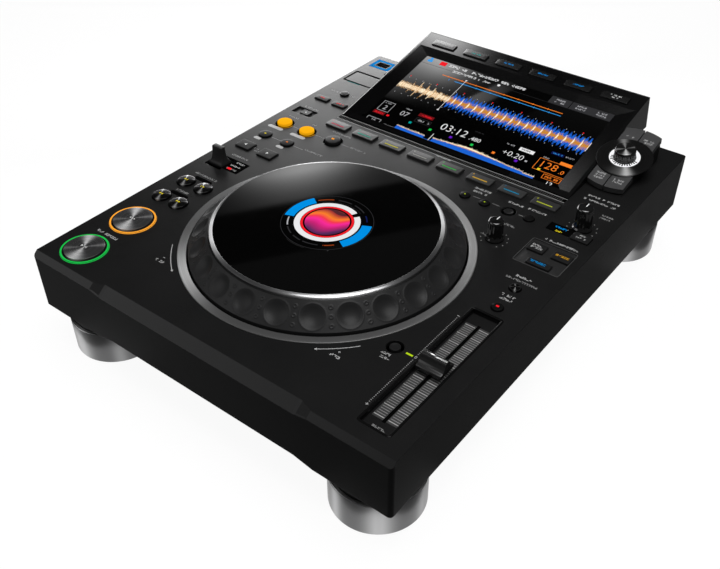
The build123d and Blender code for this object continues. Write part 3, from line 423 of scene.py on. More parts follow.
class Shape:
    # gathers grids of points and the faces between them, for one piece; millimetres
    def __init__(self):
        self.points, self.faces, self.marks, self.count = [], [], [], 0

    def add(self, points, matrix=None):
        if matrix is not None:
            m = np.array(matrix)
            points = points @ m[:3, :3].T + m[:3, 3]
        self.points.append(points)
        self.count += len(points)
        return self

    def face(self, corners, mark):
        self.faces.append(corners.tolist())
        self.marks.append(int(mark))

    def grid(self, points, mark=0, matrix=None, wrap=True, ends=""):
        # quads join each row to the next; a wrapped row closes on itself; ends names the rows that get a lid
        rows, columns = points.shape[:2]
        index = np.arange(rows * columns).reshape(rows, columns) + self.count
        ring = np.concatenate([index, index[:, :1]], 1) if wrap else index
        quads = np.stack([ring[:-1, :-1], ring[:-1, 1:], ring[1:, 1:], ring[1:, :-1]], -1).reshape(-1, 4)
        marks = np.repeat(np.broadcast_to(mark, rows - 1), len(quads) // (rows - 1))
        self.faces += quads.tolist()
        self.marks += marks.tolist()
        if "first" in ends:
            self.face(index[0][::-1], marks[0])
        if "last" in ends:
            self.face(index[-1], marks[-1])
        return self.add(points.reshape(-1, 3), matrix)

    def quads(self, corners, height, mark=0, matrix=None):
        # loose flat quads: corners is an array of quads by four by two
        points = np.dstack([corners, np.full(corners.shape[:2], height)]).reshape(-1, 3)
        self.faces += (np.arange(len(points)).reshape(-1, 4) + self.count).tolist()
        self.marks += [mark] * len(corners)
        return self.add(points, matrix)

    def bars(self, boxes, height, mark=0, matrix=None):
        # flat rectangles from centre x, centre y, width, depth
        b = np.asarray(boxes, float).reshape(-1, 4)
        sideX, sideY = np.array([-1, 1, 1, -1]) / 2, np.array([-1, -1, 1, 1]) / 2
        corners = np.stack([b[:, :1] + b[:, 2:3] * sideX, b[:, 1:2] + b[:, 3:] * sideY], -1)
        return self.quads(corners, height, mark, matrix)

    def row(self, x, y, width, depth, height, mark=0, matrix=None, keep=slice(None)):
        # the same, from arrays or single numbers
        return self.bars(np.column_stack(np.broadcast_arrays(x, y, width, depth))[keep], height, mark, matrix)

    def frame(self, x, y, width, depth, line, height, mark=0, matrix=None, over=0.0):
        # a rectangle's outline; over is what its front and rear bars add to its width
        return self.bars([(x, y - depth / 2, width + over, line), (x, y + depth / 2, width + over, line),
                          (x - width / 2, y, line, depth), (x + width / 2, y, line, depth)], height, mark, matrix)

    def arc(self, centre, inner, outer, start, end, height, mark=0, steps=48, matrix=None):
        # a flat band between two radii and two angles, in degrees
        turn = np.radians(np.linspace(start, end, steps))
        reach = np.array([outer, inner])[:, None]
        x, y = centre[0] + reach * np.cos(turn), centre[1] + reach * np.sin(turn)
        return self.grid(np.stack([x, y, np.full((2, steps), height)], -1), mark, matrix, wrap=False)

    def polygon(self, corners, height, mark=0, matrix=None):
        self.face(np.arange(len(corners)) + self.count, mark)
        return self.add(np.column_stack([corners, np.full(len(corners), height)]), matrix)

    def disc(self, centre, radius, height, mark=0, steps=24, matrix=None):
        turn = np.arange(steps) * 2 * pi / steps
        return self.polygon(centre + radius * np.column_stack([np.cos(turn), np.sin(turn)]), height, mark, matrix)

    def digits(self, string, x, y, size, height, mark=0, matrix=None, bold=0.0):
        # plain numbers, made a mesh first and placed after
        curve = bpy.data.curves.new("digits", "FONT")
        curve.body, curve.size, curve.offset, curve.resolution_u = string, size, bold, 3
        curve.align_x, curve.align_y = "CENTER", "CENTER"
        holder = bpy.data.objects.new("digits", curve)
        flat = bpy.data.meshes.new_from_object(holder)
        points = np.empty(len(flat.vertices) * 3)
        flat.vertices.foreach_get("co", points)
        faces = [[v + self.count for v in p.vertices] for p in flat.polygons]
        bpy.data.objects.remove(holder)
        bpy.data.curves.remove(curve)
        bpy.data.meshes.remove(flat)
        self.faces += faces
        self.marks += [mark] * len(faces)
        return self.add(points.reshape(-1, 3) + (x, y, height), matrix)

    def mesh(self, name, finishes):
        mesh = bpy.data.meshes.new(name)
        mesh.from_pydata((np.concatenate(self.points) * mm).tolist(), [], self.faces)
        for finish in finishes:
            mesh.materials.append(finish)
        return mesh

    def make(self, name, finishes, body, replaced=(), slot=None, sharp=38.0):
        mesh = self.mesh(name, finishes)
        mesh.polygons.foreach_set("material_index", self.marks)
        mesh.polygons.foreach_set("use_smooth", [True] * len(self.faces))
        mesh.update()
        mesh.set_sharp_from_angle(angle=radians(sharp))
        piece = place(name, mesh)
        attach(piece, body)
        if replaced:
            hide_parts(*replaced)
        return piece


def place(name, data):
    thing = bpy.data.objects.new(name, data)
    bpy.context.scene.collection.objects.link(thing)
    return thing


def softCorners(profile, radius, steps=4):
    # every inner corner of a polyline becomes a curve that leaves and meets its sides at the given distance
    p = np.asarray(profile, float)
    before, corner, after = p[:-2], p[1:-1], p[2:]
    backLength = np.linalg.norm(before - corner, axis=1)
    aheadLength = np.linalg.norm(after - corner, axis=1)
    reach = np.minimum(radius, np.minimum(backLength, aheadLength) * 0.48)[:, None]
    start = corner + (before - corner) / backLength[:, None] * reach
    end = corner + (after - corner) / aheadLength[:, None] * reach
    t = np.linspace(0, 1, steps)[None, :, None]
    curve = (1 - t) ** 2 * start[:, None] + 2 * t * (1 - t) * corner[:, None] + t ** 2 * end[:, None]
    return np.concatenate([p[:1], curve.reshape(-1, 2), p[-1:]])


def evenly(profile, count):
    # the same polyline with its points at even distances
    place = np.concatenate([[0], np.cumsum(np.linalg.norm(np.diff(profile, axis=0), axis=1))])
    more = np.linspace(0, place[-1], count)
    return np.column_stack([np.interp(more, place, profile[:, 0]), np.interp(more, place, profile[:, 1])])


def revolve(profile, centre=(0, 0), steps=64, wave=None):
    # radius and height turned about an upright axis; wave multiplies the radius by angle
    turn = np.arange(steps) * 2 * pi / steps
    radius = profile[:, :1] * (1 if wave is None else wave(profile, turn))
    x = centre[0] + radius * np.cos(turn)
    return np.stack([x, centre[1] + radius * np.sin(turn), np.broadcast_to(profile[:, 1:], x.shape)], -1)


def corners(steps):
    # the angles of a rounded rectangle's corner arcs, and the side of the middle on which each one lies
    turn = (np.arange(4)[:, None] * pi / 2 + np.linspace(0, pi / 2, steps)).ravel()
    return turn, np.repeat([1, -1, -1, 1], steps), np.repeat([1, 1, -1, -1], steps)


def capGrid(halfX, halfY, corner, profile, centre=(0, 0)):
    # a rounded rectangle drawn in by the profile's inset as it rises to the profile's height
    profile = np.asarray(profile, float)
    inset, height = profile[:, :1], profile[:, 1:]
    r = np.maximum(corner - inset, 0.03)
    turn, sideX, sideY = corners(7)
    x = centre[0] + sideX * (halfX - inset - r) + r * np.cos(turn)
    y = centre[1] + sideY * (halfY - inset - r) + r * np.sin(turn)
    return np.stack([x, y, np.broadcast_to(height, x.shape)], -1)


def words(shape, x0, x1, y, letter, height, mark=0, matrix=None, seed=1):
    # small blocks where the real one has lettering: each place is two columns by three rows, some left out
    rng = np.random.default_rng(seed)
    count = max(2, int((x1 - x0) / (letter * 0.78)))
    pitch = (x1 - x0) / count
    middles = x0 + (np.arange(count)[rng.random(count) > 0.1] + 0.5) * pitch
    columns, rows = np.repeat([-0.22, 0.22], 3), np.tile([-0.36, 0.0, 0.36], 2)
    x, lift = middles[:, None] + columns * pitch, rows * letter * 0.9
    keep = rng.random(x.shape) < 0.7
    x, lift = x[keep], np.broadcast_to(lift, keep.shape)[keep]
    return shape.row(x, y + lift, pitch * 0.36, letter * 0.25, height, mark, matrix)


def dress(node, finish):
    # a CAD node keeps its mesh and gets its finish in its own slots
    slots = nodes[node].data.materials
    slots.clear()
    slots.append(finish)


print("shapes ready")

# the jog wheel

jogValues = {
    "columns": 1440, "rows": 56, "lowR": 103.0, "lowZ": 89.0, "highR": 87.3, "highZ": 103.1, "dimples": 24,
    "dimpleR": 8.1, "dimpleDepth": 2.0, "lip": 0.16, "dotR": 1.15, "dotRise": 0.3, "dotWidth": 0.36,
    "dots": (0.2, 0.5, 0.8), "firstAngle": -4.0,
}


def bump(offset, width):
    return np.exp(-(offset / width) ** 2)


def gripSurface():
    # a cone turned about the jog axis; each dimple is a ball's cap pressed in along the cone's normal,
    # and between two dimples stand three small raised rings
    v = jogValues
    slope = np.array([v["highR"] - v["lowR"], v["highZ"] - v["lowZ"]])
    length = np.linalg.norm(slope)
    along = np.linspace(0, length, v["rows"])[:, None]
    cone = np.array([v["lowR"], v["lowZ"]]) + along * slope / length
    radius, height = cone[:, :1], cone[:, 1:]
    turn = np.arange(v["columns"]) * 2 * pi / v["columns"]
    step = 2 * pi / v["dimples"]
    inCell = (turn - radians(v["firstAngle"])) % step - step / 2  # angle from the nearest dimple's middle
    a, h = v["dimpleR"], v["dimpleDepth"]
    ball = (a * a + h * h) / (2 * h)
    away = np.sqrt((inCell * radius) ** 2 + (along - length * 0.5) ** 2)
    cap = np.sqrt(np.maximum(ball ** 2 - away ** 2, 0)) - (ball - h)
    press = np.where(away < a, cap, 0) + v["lip"] * (bump(away - a, 0.55) - bump(away - a - 0.9, 0.6))
    fromEdge = (step / 2 - np.abs(inCell)) * radius
    for share in v["dots"]:
        off = np.sqrt(fromEdge ** 2 + (along - length * share) ** 2)
        press = press - v["dotRise"] * bump(off - v["dotR"], v["dotWidth"])
    radius = radius - press * slope[1] / length
    height = height + press * slope[0] / length
    x, y = jogCentre[0] + radius * np.cos(turn), jogCentre[1] + radius * np.sin(turn)
    return np.stack([x, y, height], -1)


def turned(shape, profile, steps, mark=0, ends=""):
    return shape.grid(revolve(np.asarray(profile), jogCentre, steps), mark, ends=ends)


def jogWheel():
    skirt = softCorners([(96.0, 84.2), (102.2, 84.2), (103.0, 85.0), (103.0, 88.2), (103.0, 89.0)], 0.6)
    lip = softCorners([(87.3, 103.1), (86.7, 103.55), (86.35, 103.5), (86.3, 101.0), (83.0, 100.9)], 0.3)
    shape = turned(Shape(), skirt, 240)
    shape.grid(gripSurface())
    turned(shape, lip, 240, 1)
    turned(shape, [(83.0, 100.9), (83.0, 84.2), (96.0, 84.2)], 240)
    shape.make("jogGrip", [gripRubber, lipMetal], "jog_wheel", ["jog_wheel"], "jog_grip", sharp=30)


def jogPlate():
    # gloss plate with a bright turned rim
    rim = [(84.6, 101.3), (86.05, 101.5), (86.1, 102.4), (86.1, 104.4), (85.85, 104.85), (84.6, 105.5),
           (83.6, 105.72), (83.3, 105.6)]
    plate = [(83.6, 105.4), (83.3, 105.66), (83.2, 105.7), (83.0, 105.7), (60.0, 105.7), (35.5, 105.7),
             (35.35, 105.7), (35.3, 105.6), (35.3, 103.0), (84.6, 101.3)]
    shape = turned(Shape(), softCorners(rim, 0.3), 720)
    turned(shape, plate, 240, 1)
    shape.make("jogPlateFace", [rimChrome, plateGloss], "jog_wheel", ["jog_plate"], "jog_gloss", sharp=50)


def jogRing():
    band = [(104.4, 85.3), (111.0, 85.3), (111.0, 87.2), (110.6, 87.6), (104.9, 87.6), (104.5, 87.2), (104.4, 85.3)]
    shape = turned(Shape(), softCorners(band, 0.25), 360)
    shape.make("jogRingBand", [ringSilver], "player", ["jog_ring"], "ring_silver", sharp=30)


displayValues = {
    "radius": 35.2, "top": 105.66, "whiteOuter": 24.5, "whiteInner": 20.0, "redInner": 17.9, "art": 16.6,
    "blueOuter": 33.2, "blueInner": 25.9, "notch": (53.0, 64.0), "blueArcs": ((147, 201), (-31, 27)),
    "slots": ((119, 143, 3), (-55, -41, 3), (-57, -56, 3), (204, 224, 5), (228, 246, 4), (252, 268, 4),
              (272, 296, 4), (60, 84, 4), (90, 112, 4), (36, 52, 6)),
}
artStops = [
    (0.0, (0.004, 0.001, 0.004)), (0.2, (0.1, 0.012, 0.1)), (0.37, (0.55, 0.006, 0.16)), (0.5, (0.92, 0.012, 0.3)),
    (0.6, (0.9, 0.03, 0.06)), (0.7, (0.95, 0.2, 0.012)), (0.82, (0.4, 0.03, 0.02)), (1.0, (0.02, 0.004, 0.01)),
]


def displayArt():
    # slanted waves of warm colour, its own plain design
    finish = Finish("displayArt")
    x, y, z = finish.axes(finish.stretch(location=tuple(-c * mm for c in jogAxis)))
    x, y = x * 60.0, y * 60.0
    bend = x.math("SINE", x * 3.1 + 0.6) * 0.22
    height = (y * 0.8 - x * 0.5 + bend + 1.0) * 0.5
    tone = finish.node("ShaderNodeValToRGB", {"stops": artStops}, {0: height})
    dark = (x.math("SINE", height * 23.0) > 0.55) * (height > 0.66) * 0.8
    glow = finish.mix(dark, tone, (0.03, 0.002, 0.012))
    return finish.use(base=tint(0.002), rough=0.4, level=0.02, glow=glow, strength=1.0)


def jogDisplay():
    v = displayValues
    edge, top = v["radius"], v["top"]
    body = [(12.0, 84.0), (12.0, 101.0), (edge - 0.3, 101.0), (edge, 101.6), (edge, top - 0.1), (edge - 0.1, top),
            (edge - 0.4, top), (20.0, top), (2.0, top)]
    shape = turned(Shape(), body, 180, ends="first last")
    shape.make("jogScreenGlass", [plateGloss], "player", ["jog_display"], "screen_dark", sharp=30)
    lit, height = Shape(), top + 0.03
    start, end = v["notch"]
    bands = [(v["whiteInner"], v["whiteOuter"], end, start + 360, 0, 220),
             (v["redInner"], v["whiteInner"] - 0.25, 0, 360, 1, 160)]
    bands += [(v["blueInner"], v["blueOuter"], start, end, 2, 60) for start, end in v["blueArcs"]]
    bands += [(28.6, 29.6, start, end, mark, 14) for start, end, mark in v["slots"]]
    bands += [(33.9, 34.35, 0, 360, 4, 180), (26.2, 26.45, 60, 140, 4, 60)]
    for inner, outer, start, end, mark, steps in bands:
        lit.arc(jogCentre, inner, outer, start, end, height, mark, steps)
    lit.disc(jogCentre, v["art"], height, 7, 120)
    lit.make("jogScreenRings", [lampWhite, lampRed, lampBlue, lampRust, lampDimGrey, lampPale, lampNavy, displayArt()],
             "player", (), "screen_dark")


jogWheel()
jogPlate()
jogRing()
jogDisplay()
print("jog wheel made")


def feet():
    # a turned cup with a small chamfer at its lower and upper edge
    v = footValues
    r, top, inner, floor = v["radius"], v["top"], v["radius"] - v["wall"], v["floor"]
    profile = softCorners([(1.0, 0.0), (r - 1.6, 0.0), (r, 1.4), (r, top - 0.5), (r - 0.5, top), (inner, top),
                           (inner, floor), (1.0, floor)], 0.35)
    shape = Shape()
    for x in (-v["x"], v["x"]):
        for y in (v["frontY"], v["rearY"]):
            shape.grid(revolve(profile, (x, y), 120), ends="first last")
    shape.make("footCups", [footMetal], "player", ["foot_sleeves"], "foot_metal", sharp=30)


feet()
print("feet made")


keyValues = {"skirt": 3.4, "edge": 0.55, "crown": 0.16}
# the round keys' rise, rolled edge and swell, and how far a flat one is hollowed
keyKinds = {
    "tall": (2.8, 0.9, 0.5, 0.0), "dome": (1.6, 0.8, 0.4, 0.0), "flush": (0.35, 0.5, 0.1, 0.5),
    "spun": (2.6, 1.2, 1.0, 0.0), "steel": (2.2, 0.7, 0.25, 0.0), "fixed": (1.85, 0.8, 0.4, 0.0),
}
# painted shade: black rings on the deck where the gaps round the keys lie
keyGapShade = []  # middle, radius and width of the dark gaps round the keys
# painted highlight: the pale star-like sectors of the search keys and the tempo range key
starHighlightFan = [(125, 9, 0.8), (292, 11, 0.9), (40, 4, 0.3), (205, 4, 0.3)]


def squareCap(halfX, halfY, rise, corner, edge, centre):
    # upright sides from inside the deck, a rolled edge, and a top that swells by the crown
    low, crown = -keyValues["skirt"], keyValues["crown"]
    line = [(0.0, low), (0.0, 0.0), (0.0, rise - edge * 0.3), (edge * 1.3, rise), (edge * 3.0, rise + 0.02)]
    side = softCorners(line, edge, 6)
    small = min(halfX, halfY)
    inset = np.linspace(edge * 3.2, small - 0.25, 7)
    share = (inset - edge * 3.2) / (small - edge * 3.2)
    top = np.column_stack([inset, rise + 0.02 + crown * (1 - (1 - share) ** 2)])
    return capGrid(halfX, halfY, corner, np.concatenate([side, top]), centre)


def roundCap(radius, rise, edge, crown, hollow):
    # side, rolled edge, and a shallow ball of a top
    shoulder = rise - crown * 0.6
    side = [(radius, -keyValues["skirt"]), (radius, 0.0), (radius, rise - crown), (radius - edge, shoulder)]
    rest = 1 - np.linspace(0.0, 0.985, 9)
    top = np.column_stack([(radius - edge) * rest, shoulder + crown * 0.6 * (1 - rest ** 2) - hollow * (1 - rest ** 4)])
    return np.concatenate([softCorners(side, edge * 0.8, 6), top[1:]])


def roundKey(node, x, y, radius, kind, finish, gap=0.0, marks=None, slot="key_black", steps=64):
    shape = Shape()
    shape.grid(revolve(roundCap(radius, *keyKinds[kind]), (x, y), steps), 0, deckMatrix, ends="first last")
    finishes = [finish] + (marks(shape, x, y, keyKinds[kind][0]) if marks else [])
    if gap:
        keyGapShade.append((x, y, radius, gap))
    if kind == "fixed":
        shape.make(node + "Cap", finishes, "player", (), slot)
    else:
        shape.make(node + "_cap", finishes, node, [node], slot)


def squareKey(node, x, y, width, depth, rise, finish, marks, matrix=deckMatrix, corner=0.9, edge=keyValues["edge"]):
    shape = Shape()
    shape.grid(squareCap(width / 2, depth / 2, rise, corner, edge, (x, y)), 0, matrix, ends="first last")
    finishes = [finish] + marks(shape, x, y, rise)
    shape.make(node + "_cap", finishes, node, [node], "key_black")


def arrow(shape, tip, y, way, length, half, height):
    head = [(tip, y), (tip - way * length, y + half), (tip - way * length, y - half)]
    shape.polygon(head[::way], height, 1, deckMatrix)


def playMark(shape, x, y, rise):
    shape.polygon([(x - 3.4, y - 0.8), (x - 1.1, y + 0.3), (x - 3.4, y + 1.4)], rise + 0.06, 1, deckMatrix)
    shape.row([x + 0.6, x + 2.0], y + 0.3, 0.55, 2.2, rise + 0.06, 1, deckMatrix)
    return [inkWhite]


def cueMark(shape, x, y, rise):
    shape.row([x, x - 2.0, x + 2.0], y, 1.2, 1.2, rise + 0.06, 1, deckMatrix)
    return [inkWhite]


def searchMark(way, double):
    # two small arrow heads, or one with a bar
    def draw(shape, x, y, rise):
        for shift in (0.0, 2.2) if double else (0.6,):
            arrow(shape, x + way * (2.2 - shift), y, way, 1.7, 1.1, rise + 0.05)
        if not double:
            shape.row(x - way * 1.7, y, 0.45, 2.2, rise + 0.05, 1, deckMatrix)
        return [lampYellow]
    return draw


def centreMark(finish, size):
    def draw(shape, x, y, rise):
        shape.row(x, y, size, size * 0.8, rise + 0.05, 1, deckMatrix)
        return [finish]
    return draw


def jumpMark(way):
    def draw(shape, x, y, rise):
        arrow(shape, x + way * 1.3, y, way, 2.4, 1.5, rise + 0.21)
        return [inkWhite]
    return draw


def litWord(finish, width, letter=2.0, lines=1, seed=3):
    def draw(shape, x, y, rise):
        for line in range(lines):
            lift = (lines - 1) * 1.6 - line * 3.2
            words(shape, x - width / 2, x + width / 2, y + lift, letter, rise + 0.21, 1, deckMatrix, seed + line)
        return [finish]
    return draw


def starSteel(name, x, y):
    return spunMetal(name + "Spun", (x, y, 0), tint(0.003), tint(0.6), 0.22, 2600.0, 0.2, starHighlightFan, 0.7)


def transportKey(node, x, y, glow, marks):
    # a spun steel button; its lit ring stands in the deck
    # painted highlight: the steel's pale fans
    steel = spunMetal(node + "Steel", (x, y, 0), (0.045, 0.045, 0.046), (0.86, 0.86, 0.865), 0.26, 2600.0, 0.4,
                      [(125, 17, 0.9), (287, 23, 0.85), (48, 8, 0.2), (222, 8, 0.16)], 0.5)
    roundKey(node, x, y, 15.0, "steel", steel, 1.4, marks, "key_metal", 160)
    ring = Shape()
    band = [(16.1, -0.6), (18.1, -0.6), (18.1, 0.5), (17.7, 0.9), (16.5, 0.9), (16.1, 0.5), (16.1, -0.6)]
    ring.grid(revolve(softCorners(band, 0.3), (x, y), 160), 0, deckMatrix)
    ring.make(node + "_light", [glow], "player", (), "screen_dark")


transportKey("play_button", -136.7, -200.2, lampGreen, playMark)
transportKey("cue_button", -136.9, -153.8, lampAmber, cueMark)
for name, x, y, way, double in (("search_back", -145.2, -116.8, -1, True), ("search_forward", -126.0, -116.8, 1, True),
                                ("track_search_back", -145.2, -90.0, -1, False),
                                ("track_search_forward", -125.6, -90.0, 1, False)):
    roundKey(name, x, y, 7.5, "spun", starSteel(name, x, y), 0.6, searchMark(way, double))
roundKey("loop_in", -146.2, 32.4, 6.75, "tall", amberCap, 1.2, None, "key_amber")
roundKey("loop_out", -120.2, 32.4, 6.75, "tall", amberCap, 1.2, None, "key_amber")
roundKey("reloop", -91.0, 33.5, 6.75, "tall", keyPlastic, 1.0, centreMark(lampAmber, 2.6))
roundKey("beat_loop_4", -146.2, 6.5, 5.75, "dome", domePlastic, 0.7, centreMark(lampYellow, 1.7))
roundKey("beat_loop_8", -120.7, 6.5, 5.75, "dome", domePlastic, 0.7, centreMark(lampOrange, 1.7))
roundKey("call_back", 47.2, 31.3, 4.1, "dome", domePlastic, 0.7, centreMark(lampLime, 1.2))
roundKey("call_forward", 65.7, 30.9, 4.1, "dome", domePlastic, 0.7, centreMark(lampLime, 1.2))
roundKey("memory_button", 104.3, 33.4, 4.1, "dome", domePlastic, 0.7)
roundKey("master_tempo", 139.9, -72.5, 4.1, "dome", domePlastic, 0.7, centreMark(lampRed, 2.2))
roundKey("delete_button", 86.7, 33.0, 3.8, "flush", keyPlastic)
roundKey("tempo_reset", 107.7, -146.1, 3.8, "flush", keyPlastic)
# round keys that stand in the cover
roundKey("timeMode", -138.6, 109.2, 4.3, "fixed", domePlastic)
roundKey("usbStop", -131.2, 169.3, 4.3, "fixed", domePlastic)
roundKey("tempoRange", 139.1, -47.2, 4.3, "fixed", starSteel("tempoRange", 139.1, -47.2))
keyGapShade += [(139.1, -47.2, 4.1, 0.7), (-138.6, 109.2, 4.1, 0.7)]

squareKeys = {
    "slip_button": (-149.3, 89.5, 14.5, 7.5, litWord(lampRed, 8.0)),
    "quantize_button": (-128.5, 89.0, 14.5, 7.5, litWord(lampRed, 10.0)),
    "beat_jump_back": (-146.7, -18.0, 15.5, 12.0, jumpMark(-1)),
    "beat_jump_forward": (-121.2, -18.3, 15.5, 12.0, jumpMark(1)),
    "jog_mode": (148.8, 34.0, 14.5, 10.0, litWord(inkPale, 8.0, 1.9, 2)),
    "beat_sync": (128.3, 3.6, 13.6, 10.5, litWord(inkPale, 9.5, 2.4, 2, 5)),
    "master_button": (148.8, 3.5, 14.6, 10.0, litWord(lampMaster, 10.8, 2.4, 1, 6)),
    "key_sync": (138.9, -13.3, 19.2, 6.9, litWord(lampSync, 15.0, 2.6, 1, 7)),
}
for name, (x, y, width, depth, marks) in squareKeys.items():
    squareKey(name, x, y, width, depth, 1.6, keyPlastic, marks)

cueValues = {
    "x": 0.6, "y": 57.7, "pitch": 29.9, "width": 22.3, "depth": 10.5, "rise": 2.0, "dashes": 9, "dashPitch": 1.55,
    "tones": [(0.5, 0.03, 0.07), (0.02, 0.32, 0.24), (0.5, 0.46, 0.03), (0.3, 0.3, 0.28),
              (0.03, 0.38, 0.05), (0.6, 0.36, 0.02), (0.0, 0.22, 0.42), (0.42, 0.48, 0.03)],
}
menuValues = {
    "pitch": 36.0, "along": 132.4, "width": 25.0, "depth": 8.0, "rise": 1.4,
    "tones": [inkPale, lampTeal, lampBlue, lampBlue, lampBlue, inkWhite],
}


def cueMarks(number, tone):
    # the number near the rear left corner and a broken bar near the front
    def draw(shape, x, y, rise):
        dashes = x - 6.2 + np.arange(cueValues["dashes"]) * cueValues["dashPitch"]
        shape.row(dashes, y - 1.6, 1.3, 1.15, rise + 0.21, 1, deckMatrix)
        shape.digits(str(number), x - 8.2, y + 2.9, 2.8, rise + 0.21, 1, deckMatrix)
        return [lamp("cueLight" + str(number), tone)]
    return draw


def menuMarks(index, tone):
    # one line of blocks, and two on the last key
    def draw(shape, x, y, rise):
        last = index == 5
        words(shape, x - 5.2, x + 5.2, y + (1.5 if last else 0.3), 1.9, rise + 0.2, 1, faceMatrix, 20 + index)
        if last:
            words(shape, x - 3.2, x + 3.2, y - 1.5, 1.9, rise + 0.2, 1, faceMatrix, 30)
        return [tone]
    return draw


v = cueValues
for i, tone in enumerate(v["tones"]):
    squareKey("hot_cue_" + "abcdefgh"[i], v["x"] + (i - 3.5) * v["pitch"], v["y"], v["width"], v["depth"], v["rise"],
              greyCueRubber, cueMarks(i + 1, tone), corner=1.0)
v = menuValues
for i, tone in enumerate(v["tones"]):
    squareKey("menu_key_" + str(i + 1), (i - 2.5) * v["pitch"], v["along"], v["width"], v["depth"], v["rise"],
              housingKey, menuMarks(i, tone), faceMatrix, 0.7, 0.4)
print("keys made")

# the knobs

selectorY = 139.3
selectorCentre = (132.1, selectorY, facePlace["frontZ"] + (selectorY - facePlace["frontY"]) * faceSlope)
selectorMatrix = Matrix.Translation(selectorCentre) @ Matrix.Rotation(faceTilt, 4, "X")


def flutes(count, depth, low, high):
    # shallow scallops round the grip, fading out at its two ends
    def wave(profile, turn):
        radius, height = profile[:, :1], profile[:, 1:]
        inside = np.clip(height - low, 0, 1) * np.clip(high - height, 0, 1)
        reach = np.clip(radius / np.max(radius) * 4 - 2.6, 0, 1)
        return 1 - depth * inside * reach * (0.5 + 0.5 * np.cos(turn[None, :] * count)) ** 2
    return wave


def deckKnob(node, x, y, radius, height):
    # flared skirt, fluted grip, rolled top edge and a pale pointer toward the rear
    profile = softCorners([(radius, -2.6), (radius, 0.3), (radius + 1.15, 0.35), (radius + 1.15, 1.6), (radius, 3.2),
                           (radius - 0.35, height - 1.2), (radius - 1.3, height), (radius * 0.5, height - 0.05),
                           (0.1, height - 0.1)], 0.7, 6)
    shape = Shape()
    grid = revolve(evenly(profile, 240), (x, y), 192, flutes(9, 0.09, 3.4, height - 1.6))
    shape.grid(grid, 0, deckMatrix, ends="first last")
    near, far, half = y + 0.8, y + radius - 1.0, 0.45
    shape.polygon([(x + half, near), (x + half, far), (x - half, far), (x - half, near)], height + 0.03, 1, deckMatrix)
    shape.make(node + "_grip", [knobChrome, inkWhite], node, [node], "knob_black", sharp=30)


def selectorKnob():
    m = selectorMatrix
    profile = softCorners([(3.0, -1.4), (3.0, 1.7), (8.7, 1.75), (9.1, 2.4), (9.0, 3.4), (8.7, 4.2), (8.7, 8.4),
                           (8.0, 10.3), (6.4, 10.45), (0.1, 10.4)], 0.5, 6)
    dense = evenly(profile, 220)
    marks = (dense[:-1, 0] < 7.7) & (dense[:-1, 1] > 10.2)
    knob = Shape()
    knob.grid(revolve(dense, (0, 0), 288, flutes(16, 0.09, 1.9, 8.2)), marks.astype(int), m, ends="first last")
    # painted highlight: the pale fans on the knob's top
    top = spunMetal("knobTop", selectorCentre, tint(0.004), tint(0.8), 0.25, 2600.0, 0.3,
                    [(125, 12, 0.35), (300, 18, 0.9), (40, 7, 0.2), (215, 8, 0.3)], 0.4, faceTilt)
    knob.make("selector_knob_grip", [knobMetal, top], "selector_knob", ["selector_knob"], "key_metal", sharp=30)
    disc = Shape()
    band = [(12.9, 1.2), (22.75, 0.2), (22.78, 1.35), (22.3, 1.56), (12.9, 1.56), (12.9, 1.2)]
    disc.grid(revolve(softCorners(band, 0.25), (0, 0), 180), 0, m)
    # painted highlight: the pale fans on the disc
    metal = spunMetal("discMetal", selectorCentre, tint(0.0035), tint(0.78), 0.3, 1500.0, 0.3,
                      [(300, 11, 0.75), (284, 22, 0.12), (118, 8, 0.35)], 0.5, faceTilt)
    disc.make("selectorDiscFace", [metal], "player", (), "base_metal", sharp=30)
    lit = Shape()
    band = [(12.6, 1.1), (12.6, 1.5), (12.4, 1.66), (9.3, 1.62), (9.2, 1.1), (12.6, 1.1)]
    lit.grid(revolve(softCorners(band, 0.15), (0, 0), 120), 0, m)
    # painted reflection: the knob's ribs, mirrored dark in the lit ring, drawn as black arcs
    for n in range(15):
        angle = 196.0 + n * 10.8
        lit.arc((0, 0), 9.3, 10.9 + 0.5 * (n % 3), angle, angle + 5.6, 1.7, 1, 3, m)
    lit.make("selectorLight", [lampSelector, slotBlack], "player", (), "screen_dark", sharp=30)


def selectorKeyMarks():
    rows = {"back_key": (-8.05, 26.5, 1, 7.0), "tag_key": (8.05, 26.5, 2, 9.0),
            "filter_key": (-8.05, -27.5, 3, 8.0), "shortcut_key": (8.05, -27.5, 2, 8.5)}
    for n, (node, (x, y, lines, width)) in enumerate(rows.items()):
        shape = Shape()
        for line in range(lines):
            words(shape, x - width / 2, x + width / 2, y + (lines - 1) * 1.5 - line * 3.0, 2.1, 0.05, 0,
                  selectorMatrix, 60 + n * 4 + line)
        shape.make(node + "_mark", [inkPale], node, (), "key_black")
        dress(node, greyKeyPlastic)


deckKnob("jog_adjust_knob", 96.5, -4.8, 6.3, 17.0)
deckKnob("speed_adjust_knob", 142.7, 47.0, 6.75, 19.5)
selectorKnob()
selectorKeyMarks()
print("knobs made")

faderValues = {"x": 138.4, "y": -146.0, "top": 96.0, "stemLow": 83.4, "stemTop": 87.0}
leverValues = {"x": -145.8, "y": -50.5, "corner": 0.9}


